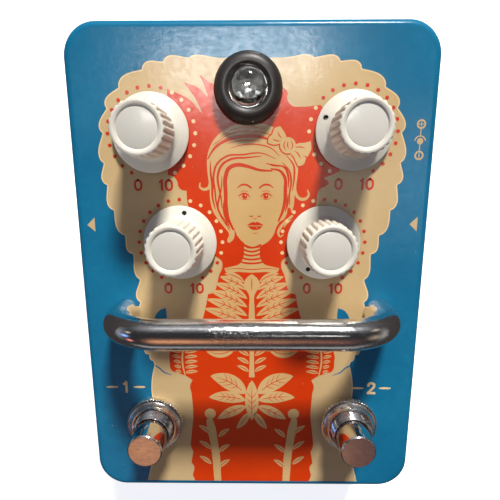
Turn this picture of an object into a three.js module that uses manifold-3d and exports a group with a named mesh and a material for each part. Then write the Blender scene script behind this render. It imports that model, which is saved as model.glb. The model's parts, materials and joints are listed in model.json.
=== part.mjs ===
// Guitar effects pedal ("stomp box") with four control knobs, an indicator
// lamp, two stomp switches and a guard bar across the face.
//
// Frame, in millimetres: origin on the floor under the middle of the
// enclosure, +X to the player's right, +Y towards the lamp end (away from the
// player), +Z up, out of the top face.

import * as THREE from 'three';
import { mergeVertices } from 'three/addons/utils/BufferGeometryUtils.js';
import Module from 'manifold-3d';

const wasm = await Module();
wasm.setup();

// --------------------------------------------------------- shared dimensions

const WIDTH = 100;              // enclosure, X
const LENGTH = 138;             // enclosure, Y
const FACE_Z = 42;              // top face above the floor
const FOOT_H = 3;
const PLATE_T = 2;              // base plate
const WALL = 2.5;               // enclosure walls
const TOP_T = 2.5;              // enclosure top
const CORNER_R = 9;             // plan radius of the upright edges
const GAP = 0.05;               // air between pieces that rest on each other
const FIT = 0.12;               // radial clearance of pieces in their holes
const OVER = 1;                 // how far cutting tools run past a surface
const WELD = 1e-4;              // vertices closer than this are merged

const SHELL_Z0 = FOOT_H + PLATE_T + GAP;   // open rim of the enclosure
const INSIDE_Z = FACE_Z - TOP_T;           // underside of the top
const UNDER_TOP = -TOP_T - GAP;            // pieces clamped under the top, from the face
const IN_WALL = -WALL - GAP;               // pieces clamped inside a side wall, from outside

// pointer: degrees clockwise from straight up the face (+Y)
const LOWER_X = 20.4;
const LOWER_Y = 11.2;
const CONTROLS = [
  { name: 'volume', x: -27.35, y: 40.9, pointer: -60 },
  { name: 'gain', x: 27.6, y: 41.3, pointer: -67 },
  { name: 'eq', x: -LOWER_X, y: LOWER_Y, pointer: 11 },
  { name: 'blend', x: LOWER_X, y: LOWER_Y, pointer: -150 },
];
const SWITCH_X = 30.3;
const SWITCH_Y = -46;
const SIDES = [{ name: 'left', sign: -1 }, { name: 'right', sign: 1 }];
const SOCKETS = [{ name: 'input', sign: 1 }, { name: 'output', sign: -1 }];
const CORNERS = [[-1, 1], [1, 1], [-1, -1], [1, -1]];   // signs of X and Y
const LAMP = { x: -0.9, y: 52.1 };
const BAR_X = 37.4;             // guard bar legs
const BAR_Y = -9.8;
const JACK = { y: 16.2, z: 22 };           // signal sockets, both sides
const POWER = { y: 38.9, z: 22 };          // power socket, right side
const BOSS_X = 42.9;            // base plate screws
const BOSS_Y = 61.9;

// radii of what passes through the enclosure
const POT_BUSH_R = 3.5;
const SWITCH_BUSH_R = 6;
const LAMP_STEM_R = 5.85;
const BAR_HOLE_R = 2.8;
const JACK_NOSE_R = 4.75;
const POWER_BARREL_R = 5.9;

// stomp switch levels that the cables follow
const SWITCH_DROP = 8;          // top of the case below the face
const SWITCH_H = 15;            // case height
const SWITCH_TAG_H = 4.5;       // tags below the case

const FINISHES = {
  paint: { color: 0x1f6f8f, roughness: 0.3, metalness: 0.2 },
  chrome: { color: 0xc9ccd0, roughness: 0.08, metalness: 1.0 },
  steel: { color: 0x9a9da1, roughness: 0.35, metalness: 1.0 },
  zinc: { color: 0xa8abad, roughness: 0.4, metalness: 1.0 },
  brass: { color: 0xb5924c, roughness: 0.35, metalness: 1.0 },
  knob: { color: 0xece9df, roughness: 0.35, metalness: 0.0 },
  black: { color: 0x141414, roughness: 0.35, metalness: 0.0 },
  rubber: { color: 0x1b1b1b, roughness: 0.85, metalness: 0.0 },
  clear: { color: 0xdfe6ea, roughness: 0.05, metalness: 0.0 },
  board: { color: 0x1d5a34, roughness: 0.5, metalness: 0.0 },
  switchCase: { color: 0x2a5fa8, roughness: 0.5, metalness: 0.0 },
  cable: { color: 0x8c8f96, roughness: 0.6, metalness: 0.0 },
};

// ------------------------------------------------------- meshes and booleans

const signedVolume = (positions, indices) => {
  const corner = (i) => new THREE.Vector3().fromArray(positions, indices[i] * 3);
  let volume = 0;
  for (let i = 0; i < indices.length; i += 3) {
    volume += corner(i).dot(corner(i + 1).cross(corner(i + 2)));
  }
  return volume / 6;
};

// position-only, shared-vertex copy of a geometry, faces pointing out
const welded = (source) => {
  const bare = source.clone();
  for (const name of Object.keys(bare.attributes)) {
    if (name !== 'position') bare.deleteAttribute(name);
  }
  const geometry = mergeVertices(bare, WELD);
  const found = geometry.index.array;
  const indices = [];
  for (let i = 0; i < found.length; i += 3) {
    const triangle = [found[i], found[i + 1], found[i + 2]];
    if (new Set(triangle).size === 3) indices.push(...triangle);
  }
  if (signedVolume(geometry.attributes.position.array, indices) < 0) {
    for (let i = 0; i < indices.length; i += 3) {
      [indices[i + 1], indices[i + 2]] = [indices[i + 2], indices[i + 1]];
    }
  }
  geometry.setIndex(indices);
  return geometry;
};

// A shape is either a three.js geometry or a Manifold; these convert it.
const asSolid = (shape) => {
  if (!shape.isBufferGeometry) return shape;
  const geometry = welded(shape);
  return new wasm.Manifold(new wasm.Mesh({
    numProp: 3,
    vertProperties: new Float32Array(geometry.attributes.position.array),
    triVerts: new Uint32Array(geometry.index.array),
  }));
};

const asGeometry = (shape) => {
  if (shape.isBufferGeometry) return shape;
  const mesh = shape.getMesh();
  const positions = new Float32Array(mesh.vertProperties);
  const geometry = new THREE.BufferGeometry();
  geometry.setAttribute('position', new THREE.BufferAttribute(positions, 3));
  geometry.setIndex(Array.from(mesh.triVerts));
  return geometry;
};

const cut = (base, ...tools) =>
  tools.reduce((result, tool) => result.subtract(asSolid(tool)), asSolid(base));
const join = (base, ...more) =>
  more.reduce((result, part) => result.add(asSolid(part)), asSolid(base));

// -------------------------------------------------------------- basic shapes

// The two ends of each range, here and in block, may come in either order.
const middle = ([start, end]) => (start + end) / 2;
const extent = ([start, end]) => Math.abs(end - start);
const span = (centre, half) => [centre - half, centre + half];

// upright cylinder
const rod = (radius, bottom, top, x = 0, y = 0, segments = 20) =>
  new THREE.CylinderGeometry(radius, radius, top - bottom, segments)
    .rotateX(Math.PI / 2)
    .translate(x, y, (bottom + top) / 2);

// cylinder along X
const rodX = (radius, start, end, y = 0, z = 0, segments = 20) =>
  new THREE.CylinderGeometry(radius, radius, extent([start, end]), segments)
    .rotateZ(Math.PI / 2)
    .translate(middle([start, end]), y, z);

const block = (rangeX, rangeY, rangeZ) =>
  new THREE.BoxGeometry(extent(rangeX), extent(rangeY), extent(rangeZ))
    .translate(middle(rangeX), middle(rangeY), middle(rangeZ));

// turned piece, profile as [radius, height] pairs, standing on +Z
const turned = (profile, segments = 20) => {
  const points = profile.map(([radius, height]) => new THREE.Vector2(radius, height));
  return new THREE.LatheGeometry(points, segments).rotateX(Math.PI / 2);
};
// the same along +X
const turnedX = (profile) => turned(profile).rotateY(Math.PI / 2);

// turned tube with square ends
const ring = (inner, outer, bottom, top, segments) => turned([
  [inner, bottom], [outer, bottom], [outer, top], [inner, top], [inner, bottom],
], segments);

// quarter ellipse for a profile, rising from its widest point to its top
const domeProfile = ({ topRadius = 0, run, base, rise, steps }) => {
  const points = [];
  for (let i = 0; i <= steps; i += 1) {
    const angle = (i / steps) * Math.PI / 2;
    const across = i === steps ? 0 : Math.cos(angle);
    points.push([topRadius + run * across, base + rise * Math.sin(angle)]);
  }
  return points;
};

const roundedShape = (width, length, radius) => {
  const shape = new THREE.Shape();
  const [x, y] = [width / 2, length / 2];
  shape.moveTo(-x + radius, -y);
  shape.lineTo(x - radius, -y);
  shape.absarc(x - radius, -y + radius, radius, -Math.PI / 2, 0, false);
  shape.lineTo(x, y - radius);
  shape.absarc(x - radius, y - radius, radius, 0, Math.PI / 2, false);
  shape.lineTo(-x + radius, y);
  shape.absarc(-x + radius, y - radius, radius, Math.PI / 2, Math.PI, false);
  shape.lineTo(-x, -y + radius);
  shape.absarc(-x + radius, -y + radius, radius, Math.PI, Math.PI * 1.5, false);
  return shape;
};

const slab = (width, length, radius, bottom, top, curveSegments = 3) =>
  new THREE.ExtrudeGeometry(roundedShape(width, length, radius), {
    depth: top - bottom, bevelEnabled: false, curveSegments,
  }).translate(0, 0, bottom);

// hexagon nut; makeRod is rod or rodX and sets the axis
const hexNut = (makeRod, acrossFlats, boreRadius, start, end) => cut(
  makeRod(acrossFlats / Math.sqrt(3), start, end, 0, 0, 6),
  makeRod(boreRadius, start - OVER, end + OVER),
);

// -------------------------------------------------------------------- adding

const pedal = new THREE.Group();
pedal.name = 'effects_pedal';

const addGroup = (x, y, z, turn = 0) => {
  const group = new THREE.Group();
  group.position.set(x, y, z);
  group.rotation.z = turn;
  pedal.add(group);
  return group;
};

const add = (parent, name, shape, finish, x = 0, y = 0, z = 0) => {
  const material = new THREE.MeshStandardMaterial(finish);
  const mesh = new THREE.Mesh(welded(asGeometry(shape)), material);
  mesh.name = name;
  mesh.position.set(x, y, z);
  parent.add(mesh);
};

// ----------------------------------------------------------------- enclosure

const EDGE_R = 1.8;             // rounding between the face and the sides
const TRIM = 6;                 // extrusion below the rim, cut off again
const BOSS_R = 4;
const WEB_HALF = 2.2;           // half the thickness of a boss web
const WEB_INSET = 1.5;          // webs end this far inside the outer surface
const BOSS_OVERLAP = 0.5;       // bosses and webs run this far into the top
const PILOT_R = 1.75;           // screw hole in a boss
const PILOT_DEPTH = 14;

// block with rounded upright corners and face edge; the lower bevel of the
// extrusion falls below the rim and is trimmed off
const enclosureBlank = () => {
  const depth = FACE_Z - SHELL_Z0 + TRIM - 2 * EDGE_R;
  const outline = roundedShape(WIDTH - 2 * EDGE_R, LENGTH - 2 * EDGE_R, CORNER_R - EDGE_R);
  const outer = new THREE.ExtrudeGeometry(outline, {
    depth,
    bevelEnabled: true,
    bevelThickness: EDGE_R,
    bevelSize: EDGE_R,
    bevelSegments: 3,
    curveSegments: 3,
  }).translate(0, 0, FACE_Z - EDGE_R - depth);
  return cut(outer, block(span(0, WIDTH), span(0, LENGTH), [SHELL_Z0 - 2 * TRIM, SHELL_Z0]));
};

// screw boss with webs into the corner walls
const bossParts = ([signX, signY]) => {
  const [x, y] = [signX * BOSS_X, signY * BOSS_Y];
  const rangeZ = [SHELL_Z0, INSIDE_Z + BOSS_OVERLAP];
  return [
    rod(BOSS_R, ...rangeZ, x, y, 12),
    block([x, signX * (WIDTH / 2 - WEB_INSET)], span(y, WEB_HALF), rangeZ),
    block(span(x, WEB_HALF), [y, signY * (LENGTH / 2 - WEB_INSET)], rangeZ),
  ];
};

const pilotHole = ([signX, signY]) =>
  rod(PILOT_R, SHELL_Z0 - OVER, SHELL_Z0 + PILOT_DEPTH, signX * BOSS_X, signY * BOSS_Y, 12);

const faceHole = (radius, x, y, segments) =>
  rod(radius, INSIDE_Z - OVER, FACE_Z + OVER, x, y, segments);

const wallHole = (radius, sign, { y, z }) =>
  rodX(radius, sign * (WIDTH / 2 - WALL - OVER), sign * (WIDTH / 2 + OVER), y, z);

const enclosure = () => {
  const cavity = slab(
    WIDTH - 2 * WALL, LENGTH - 2 * WALL, CORNER_R - WALL, SHELL_Z0 - OVER, INSIDE_Z,
  );
  return cut(
    join(cut(enclosureBlank(), cavity), ...CORNERS.flatMap(bossParts)),
    ...CORNERS.map(pilotHole),
    ...CONTROLS.map(({ x, y }) => faceHole(POT_BUSH_R + FIT, x, y)),
    ...SIDES.map(({ sign }) => faceHole(SWITCH_BUSH_R + FIT, sign * SWITCH_X, SWITCH_Y)),
    faceHole(LAMP_STEM_R + FIT, LAMP.x, LAMP.y),
    ...SIDES.map(({ sign }) => faceHole(BAR_HOLE_R, sign * BAR_X, BAR_Y, 14)),
    ...SOCKETS.map(({ sign }) => wallHole(JACK_NOSE_R + FIT, sign, JACK)),
    wallHole(POWER_BARREL_R + FIT, 1, POWER),
  );
};

add(pedal, 'enclosure', enclosure(), FINISHES.paint);

// ------------------------------------------------- base plate, screws, feet

const PLATE_INSET = 0.3;        // plate edge inside the enclosure outline
const FOOT_X = 35;
const FOOT_Y = 53;

const basePlate = () => {
  const countersink = turned([
    [0, -OVER], [3.65, -OVER], [3.65, 0.1],
    [1.9, 1.75], [1.9, PLATE_T + OVER], [0, PLATE_T + OVER],
  ], 10);
  return cut(
    slab(
      WIDTH - 2 * PLATE_INSET, LENGTH - 2 * PLATE_INSET, CORNER_R - PLATE_INSET,
      FOOT_H, FOOT_H + PLATE_T,
    ),
    ...CORNERS.map(([signX, signY]) =>
      countersink.clone().translate(signX * BOSS_X, signY * BOSS_Y, FOOT_H)),
  );
};

// countersunk screw, head down, with a cross recess
const baseScrew = () => {
  const long = span(0, 1.9);
  const narrow = span(0, 0.4);
  const depth = [-OVER, 1.1];
  return cut(
    turned([[0, 0.1], [3.3, 0.1], [3.3, 0.35], [1.55, 1.95], [1.55, 12], [0, 12]], 10),
    block(long, narrow, depth),
    block(narrow, long, depth),
  );
};

const foot = () => turned([
  [0, 0], [6.0, 0], [6.3, 0.4], [6.6, FOOT_H - GAP], [0, FOOT_H - GAP],
]);

add(pedal, 'base_plate', basePlate(), FINISHES.steel);
CORNERS.forEach(([signX, signY], i) => {
  const [screwX, screwY] = [signX * BOSS_X, signY * BOSS_Y];
  add(pedal, `base_screw_${i + 1}`, baseScrew(), FINISHES.zinc, screwX, screwY, FOOT_H);
  add(pedal, `foot_${i + 1}`, foot(), FINISHES.rubber, signX * FOOT_X, signY * FOOT_Y);
});

// ----------------------------------------------------------------- guard bar

const BAR_R = 4.15;
const BAR_LEG = 7.4;            // height at which the bends start
const BAR_BEND = 13.8;          // bend radius of the centre line
const BEND_STEPS = 7;
const BAR_BORE_R = 2.6;         // blind screw hole up each leg
const BAR_BORE_TOP = 12;
const BAR_WASHER_T = 1;
const BAR_SCREW_HEAD = 3;

// Centre line of the bridge: up one leg, across and down the other. Points and
// tangents are given only at the nodes, one per extrusion step.
class BridgePath extends THREE.Curve {
  constructor() {
    super();
    const node = (x, z, tangentX, tangentZ) => ({
      point: new THREE.Vector3(x, 0, z),
      tangent: new THREE.Vector3(tangentX, 0, tangentZ),
    });
    const rising = [node(-BAR_X, GAP, 0, 1)];
    for (let i = 0; i <= BEND_STEPS; i += 1) {
      const angle = (i / BEND_STEPS) * Math.PI / 2;
      const [sine, cosine] = [Math.sin(angle), Math.cos(angle)];
      rising.push(node(
        -BAR_X + BAR_BEND * (1 - cosine), BAR_LEG + BAR_BEND * sine, sine, cosine,
      ));
    }
    const falling = [...rising].reverse().map(({ point, tangent }) =>
      node(-point.x, point.z, tangent.x, -tangent.z));
    this.nodes = [...rising, ...falling];
  }

  nodeAt(fraction) {
    return this.nodes[Math.round(fraction * (this.nodes.length - 1))];
  }

  getPointAt(fraction) {
    return this.nodeAt(fraction).point.clone();
  }

  getTangentAt(fraction) {
    return this.nodeAt(fraction).tangent.clone();
  }
}

const guardBar = () => {
  const path = new BridgePath();
  const section = new THREE.Shape();
  section.absarc(0, 0, BAR_R, 0, Math.PI * 2, false);
  const bent = new THREE.ExtrudeGeometry(section, {
    steps: path.nodes.length - 1, extrudePath: path, bevelEnabled: false, curveSegments: 9,
  });
  return cut(bent, ...SIDES.map(({ sign }) =>
    rod(BAR_BORE_R, -OVER, BAR_BORE_TOP, sign * BAR_X, 0, 12)));
};

// socket-head screw, head down, with a hexagonal recess
const barScrew = () => cut(
  turned([
    [0, 0], [4.2, 0], [4.4, 0.3], [4.4, BAR_SCREW_HEAD],
    [2.45, BAR_SCREW_HEAD], [2.45, 17.5], [0, 17.5],
  ], 12),
  rod(2.3, -2, 2, 0, 0, 6),
);

add(pedal, 'guard_bar', guardBar(), FINISHES.chrome, 0, BAR_Y, FACE_Z);
for (const { name, sign } of SIDES) {
  const x = sign * BAR_X;
  const washer = ring(BAR_HOLE_R, 5, 0, BAR_WASHER_T, 16);
  const washerZ = FACE_Z + UNDER_TOP - BAR_WASHER_T;
  const screwZ = washerZ - GAP - BAR_SCREW_HEAD;
  add(pedal, `guard_bar_washer_${name}`, washer, FINISHES.zinc, x, BAR_Y, washerZ);
  add(pedal, `guard_bar_screw_${name}`, barScrew(), FINISHES.zinc, x, BAR_Y, screwZ);
}

// ------------------------------------------------- knobs and potentiometers
// Heights are above the face.

const KNOB_Z0 = 1;              // underside of the skirt
const KNOB_TOP = 17.5;
const SKIRT_R = 10.45;
const SKIRT_EDGE_Z = 1.9;       // top of the skirt's upright rim
const BODY_R0 = 6.95;           // body radius at the skirt
const BODY_R1 = 6.7;            // and near the top
const DISH_R = 5.16;            // shallow dish in the knob's top
const POINTER_R = 8.6;          // pointer dimple, from the knob's axis
const POT_R = 8.2;
const POT_H = 9;
const POT_BUSH_TOP = 3.4;
const SHAFT_R = 3;
const SHAFT_TOP = 13;
const SHAFT_NECK = 2.3;         // radius of the shaft inside the bushing

const knob = () => cut(
  turned([
    [0, 14.2], [4.4, 14.2], [4.4, 4.1], [6.0, 4.1], [6.0, KNOB_Z0],
    [SKIRT_R, KNOB_Z0], [SKIRT_R, SKIRT_EDGE_Z],
    [BODY_R0, 3.6], [BODY_R1, KNOB_TOP - 0.7],
    [BODY_R1 - 0.6, KNOB_TOP], [DISH_R + 0.2, KNOB_TOP], [DISH_R - 0.15, KNOB_TOP - 0.55],
    [0, KNOB_TOP - 0.3],
  ]),
  rod(0.65, SKIRT_EDGE_Z, 6, 0, POINTER_R, 8),
);

const potShaft = () => turned([
  [0, -9.0], [SHAFT_NECK, -9.0], [SHAFT_NECK, 3.6], [SHAFT_R, 3.6],
  [SHAFT_R, SHAFT_TOP], [0, SHAFT_TOP],
], 16);

// can, bushing and three solder tags as one piece, blind bore for the shaft
const pot = () => {
  const canAndBushing = turned([
    [0, UNDER_TOP - POT_H], [POT_R, UNDER_TOP - POT_H], [POT_R, UNDER_TOP],
    [POT_BUSH_R, UNDER_TOP], [POT_BUSH_R, POT_BUSH_TOP - 0.25],
    [POT_BUSH_R - 0.25, POT_BUSH_TOP], [0, POT_BUSH_TOP],
  ]);
  const tags = [-5, 0, 5].map((x) =>
    block(span(x, 0.8), [-POT_R - 3.2, -POT_R + 2.4], [UNDER_TOP - 5.2, UNDER_TOP - 4.4]));
  const bore = rod(SHAFT_NECK + 0.1, -9.6, POT_BUSH_TOP + OVER, 0, 0, 16);
  return cut(join(canAndBushing, ...tags), bore);
};

for (const { name, x, y, pointer } of CONTROLS) {
  const turning = addGroup(x, y, FACE_Z, -THREE.MathUtils.degToRad(pointer));
  add(turning, `${name}_knob`, knob(), FINISHES.knob);
  add(turning, `${name}_knob_insert`, ring(SHAFT_R + FIT, 4.25, 4.5, 13.9, 16), FINISHES.brass);
  add(turning, `${name}_pot_shaft`, potShaft(), FINISHES.zinc);
  const fixed = addGroup(x, y, FACE_Z);
  const nut = hexNut(rod, 10, POT_BUSH_R + FIT, GAP, GAP + 2);
  add(fixed, `${name}_pot`, pot(), FINISHES.zinc);
  add(fixed, `${name}_pot_nut`, nut, FINISHES.zinc);
}

// ------------------------------------------------------------ indicator lamp
// Heights are above the face.

const BEZEL_R = 9.15;
const BEZEL_H = 4.2;
const BEZEL_EDGE_Z = 0.7;       // top of the bezel's upright rim
const DOME_RUN = 3.45;          // how far the bezel's dome closes in
const STEM_Z0 = -9.6;
const SEAT_Z = -2.6;            // bottom of the lens pocket
const LENS_R = 4.95;
const LENS_EDGE_Z = 3.2;
const LENS_TOP = 6;
const POCKET_R = LENS_R + 0.1;
const LED_R = 2.5;
const LED_BORE_R = 2.65;
const LED_DOME_Z = -5.2;

// bezel, with its stem through the face
const lampBezel = () => turned([
  [POCKET_R, SEAT_Z], [POCKET_R, BEZEL_H - 0.15], [LENS_R + 0.25, BEZEL_H],
  ...domeProfile({
    topRadius: BEZEL_R - DOME_RUN,
    run: DOME_RUN,
    base: BEZEL_EDGE_Z,
    rise: BEZEL_H - BEZEL_EDGE_Z,
    steps: 4,
  }).reverse(),
  [BEZEL_R, GAP], [LAMP_STEM_R, GAP], [LAMP_STEM_R, STEM_Z0],
  [LED_BORE_R, STEM_Z0], [LED_BORE_R, SEAT_Z], [POCKET_R, SEAT_Z],
]);

// clear jewel: tapered underside, low domed top
const lampLens = () => turned([
  [0, -1.6], [2.4, -0.9], [LENS_R, 1.2],
  ...domeProfile({ run: LENS_R, base: LENS_EDGE_Z, rise: LENS_TOP - LENS_EDGE_Z, steps: 4 }),
]);

const lampLed = () => turned([
  [0, -10.6], [2.9, -10.6], [2.9, -9.7], [LED_R, -9.7],
  ...domeProfile({ run: LED_R, base: LED_DOME_Z, rise: LED_R, steps: 3 }),
], 14);

const lamp = addGroup(LAMP.x, LAMP.y, FACE_Z);
const lampNut = hexNut(rod, 16, LAMP_STEM_R + FIT, UNDER_TOP - 2.5, UNDER_TOP);
add(lamp, 'lamp_bezel', lampBezel(), FINISHES.black);
add(lamp, 'lamp_lens', lampLens(), FINISHES.clear);
add(lamp, 'lamp_led', lampLed(), FINISHES.clear);
add(lamp, 'lamp_nut', lampNut, FINISHES.zinc);

// ------------------------------------------------------------- stomp switches
// Heights are above the face.

const SWITCH_W = 17.5;          // square case
const BUSH_TOP = 8.3;
const COLLAR_R = SWITCH_BUSH_R + 1.4;      // collar where bushing meets case
const PLUNGER_R = 5;
const PLUNGER_TOP = 17.2;
const DRESS_R = 8.8;
const DRESS_H = 4.1;

// case, threaded bushing and nine tags as one piece, blind bore for the plunger
const switchBody = () => {
  const caseTop = -SWITCH_DROP;
  const caseBottom = caseTop - SWITCH_H;
  const bushing = turned([
    [0, caseTop - 1], [COLLAR_R, caseTop - 1], [COLLAR_R, caseTop + 0.6],
    [SWITCH_BUSH_R, caseTop + 0.6], [SWITCH_BUSH_R, BUSH_TOP - 0.35],
    [SWITCH_BUSH_R - 0.35, BUSH_TOP], [0, BUSH_TOP],
  ]);
  const side = span(0, SWITCH_W / 2);
  const tagZ = [caseBottom - SWITCH_TAG_H, caseBottom + 0.5];
  const tags = [-5.2, 0, 5.2].flatMap((x) => [-4.8, 0, 4.8].map((y) =>
    block(span(x, 1.1), span(y, 0.4), tagZ)));
  return cut(
    join(bushing, block(side, side, [caseBottom, caseTop - 0.4]), ...tags),
    rod(PLUNGER_R + FIT, -7.2, BUSH_TOP + OVER),
  );
};

const plunger = () => turned([
  [0, -2.4], [PLUNGER_R - 0.3, -2.4], [PLUNGER_R, -2.1], [PLUNGER_R, PLUNGER_TOP - 0.4],
  [PLUNGER_R - 0.4, PLUNGER_TOP], [0, PLUNGER_TOP],
]);

const dressNut = () => {
  const bore = SWITCH_BUSH_R + FIT;
  return turned([
    [bore, GAP], [DRESS_R, GAP], [DRESS_R, 1.8], [DRESS_R - 0.35, 2.1],
    [7.4, 2.8], [6.85, DRESS_H], [bore, DRESS_H], [bore, GAP],
  ], 24);
};

for (const { name, sign } of SIDES) {
  const group = addGroup(sign * SWITCH_X, SWITCH_Y, FACE_Z);
  const innerNut = hexNut(rod, 14, SWITCH_BUSH_R + FIT, UNDER_TOP - 2.6, UNDER_TOP);
  add(group, `${name}_switch_body`, switchBody(), FINISHES.switchCase);
  add(group, `${name}_switch_plunger`, plunger(), FINISHES.chrome);
  add(group, `${name}_switch_dress_nut`, dressNut(), FINISHES.chrome);
  add(group, `${name}_switch_inner_nut`, innerNut, FINISHES.zinc);
}

// --------------------------------------------------------------- side sockets
// Built pointing along +X, origin on the outside of the wall.

const NOSE_END = 4.4;
const JACK_WASHER_T = 0.9;
const JACK_NUT_X = 1 + 3 * GAP;
const JACK_NUT_T = 2.3;
const FLANGE_R = 7.3;
const FLANGE_END = 2;
const POWER_NUT_T = 2.5;

// 6.35 mm signal socket: threaded nose through the wall, plug bore down the
// middle, moulded case and tags inside
const signalJack = () => cut(
  join(
    turnedX([
      [0, -6.0], [JACK_NOSE_R, -6.0], [JACK_NOSE_R, NOSE_END - 0.3],
      [JACK_NOSE_R - 0.3, NOSE_END], [0, NOSE_END],
    ]),
    block([-22.5, IN_WALL], span(0, 8), span(0, 8)),
    ...[-5, 0, 5].map((y) => block([-25.8, -22], span(y, 1), span(0, 0.4))),
  ),
  rodX(3.3, -20.5, NOSE_END + OVER),
);

const jackWasher = () => ring(4.95, 7.6, GAP, GAP + JACK_WASHER_T).rotateY(Math.PI / 2);

const jackNut = () =>
  hexNut(rodX, 12.7, JACK_NOSE_R + FIT, JACK_NUT_X, JACK_NUT_X + JACK_NUT_T);

// power socket: flanged barrel with tags, 5.7 mm bore and 2.1 mm centre pin
const powerJack = () => {
  const barrel = turnedX([
    [0, -13.5], [POWER_BARREL_R, -13.5], [POWER_BARREL_R, GAP], [FLANGE_R, GAP],
    [FLANGE_R, FLANGE_END - 0.4], [FLANGE_R - 0.4, FLANGE_END], [0, FLANGE_END],
  ]);
  const tags = [-3.4, 0, 3.4].map((y) => block([-17, -13], span(y, 0.9), span(0, 0.35)));
  const bore = rodX(2.85, -10.5, FLANGE_END + OVER, 0, 0, 16);
  const pin = rodX(1.05, -11.5, 0.6, 0, 0, 10);
  return join(cut(join(barrel, ...tags), bore), pin);
};

for (const { name, sign } of SOCKETS) {
  const group = addGroup(sign * WIDTH / 2, JACK.y, JACK.z, sign < 0 ? Math.PI : 0);
  add(group, `${name}_jack`, signalJack(), FINISHES.black);
  add(group, `${name}_jack_washer`, jackWasher(), FINISHES.chrome);
  add(group, `${name}_jack_nut`, jackNut(), FINISHES.chrome);
}

const power = addGroup(WIDTH / 2, POWER.y, POWER.z);
const powerNut = hexNut(rodX, 15, POWER_BARREL_R + FIT, IN_WALL - POWER_NUT_T, IN_WALL);
add(power, 'power_jack', powerJack(), FINISHES.black);
add(power, 'power_jack_nut', powerNut, FINISHES.black);

// --------------------------------------------------------------- electronics

const BOARD_TOP = FACE_Z - 13.2;
const BOARD_Z0 = BOARD_TOP - 1.6;
const BOARD_Y = 13.5;           // middle of the board
const LEG_PITCH = 2.54;
const CABLE_X = 20;             // middle of each cable
const CABLE_W = 9;
const CABLE_T = 0.8;

const circuitBoard = () => {
  const holes = [-21.5, 21.5].flatMap((x) => [-29, 55.5].map((y) =>
    rod(1.6, BOARD_Z0 - OVER, BOARD_TOP + OVER, x, y, 8)));
  return cut(slab(50, 92, 2, BOARD_Z0, BOARD_TOP, 2).translate(0, BOARD_Y, 0), ...holes);
};

// dual in-line chip with legs, hanging under the board
const chip = () => {
  const legs = [-1.5, -0.5, 0.5, 1.5].flatMap((place) => [-1, 1].map((sign) =>
    block(span(place * LEG_PITCH, 0.35), [sign * 3, sign * 3.9], [-3, -GAP])));
  return join(block(span(0, 4.8), span(0, 3.2), [-4.4, -1]), ...legs);
};

// flat cable from under the board to below a switch's tags
const switchCable = (sign) => {
  const top = BOARD_Z0 - 0.3;
  const low = FACE_Z - SWITCH_DROP - SWITCH_H - SWITCH_TAG_H - 0.7;
  // side view as [y, z] pairs
  const outline = [
    [-24, top], [-24, top - CABLE_T], [-31.2, low], [-46.5, low],
    [-46.5, low - CABLE_T], [-31.6, low - CABLE_T], [-23.2, top - 1], [-23.2, top],
  ];
  const shape = new THREE.Shape(outline.map(([y, z]) => new THREE.Vector2(y, z)));
  // the two turns lay the drawing in the YZ plane, with its depth along +X
  return new THREE.ExtrudeGeometry(shape, { depth: CABLE_W, bevelEnabled: false })
    .rotateY(Math.PI / 2)
    .rotateX(Math.PI / 2)
    .translate(sign * CABLE_X - CABLE_W / 2, 0, 0);
};

add(pedal, 'circuit_board', circuitBoard(), FINISHES.board);
add(pedal, 'chip_1', chip(), FINISHES.black, -9, 30, BOARD_Z0);
add(pedal, 'chip_2', chip(), FINISHES.black, 8, -8, BOARD_Z0);
for (const { name, sign } of SIDES) {
  add(pedal, `${name}_switch_cable`, switchCable(sign), FINISHES.cable);
}

export default pedal;
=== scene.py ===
# Looks of a guitar effects pedal with two foot switches, four knobs, a lamp and a guard bar,
# built around its CAD frame. X runs across the pedal, +Y to its far edge, +Z up from the feet
# at z = 0; the foot switches stand towards -Y. Helpers work in millimetres, meshes are metres.
import json
import math
import bmesh
import bpy
import numpy as np
from mathutils import Matrix, Vector
from mathutils.geometry import tessellate_polygon

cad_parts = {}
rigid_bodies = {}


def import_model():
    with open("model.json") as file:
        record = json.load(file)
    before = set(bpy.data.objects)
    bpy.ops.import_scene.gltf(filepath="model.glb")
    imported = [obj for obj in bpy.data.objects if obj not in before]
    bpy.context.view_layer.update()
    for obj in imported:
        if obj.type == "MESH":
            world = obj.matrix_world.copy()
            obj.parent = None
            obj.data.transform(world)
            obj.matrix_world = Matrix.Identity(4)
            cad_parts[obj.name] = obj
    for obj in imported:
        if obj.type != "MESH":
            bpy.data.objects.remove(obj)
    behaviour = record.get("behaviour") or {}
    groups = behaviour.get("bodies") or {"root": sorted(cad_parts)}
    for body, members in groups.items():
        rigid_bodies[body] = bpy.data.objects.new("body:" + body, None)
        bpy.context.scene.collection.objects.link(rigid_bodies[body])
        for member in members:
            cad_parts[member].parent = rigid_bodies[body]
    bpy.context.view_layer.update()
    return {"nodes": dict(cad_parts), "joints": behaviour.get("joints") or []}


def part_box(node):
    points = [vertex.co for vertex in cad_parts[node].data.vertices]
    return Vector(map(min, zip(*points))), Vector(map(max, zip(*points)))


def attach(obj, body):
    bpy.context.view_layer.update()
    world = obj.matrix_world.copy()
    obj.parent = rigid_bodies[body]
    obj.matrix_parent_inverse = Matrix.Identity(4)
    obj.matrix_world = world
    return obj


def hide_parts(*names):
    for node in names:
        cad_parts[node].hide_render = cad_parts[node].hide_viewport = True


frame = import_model()
MM = 0.001
scene = bpy.context.scene


# ------------------------------------------------------------------ node helpers

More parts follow.
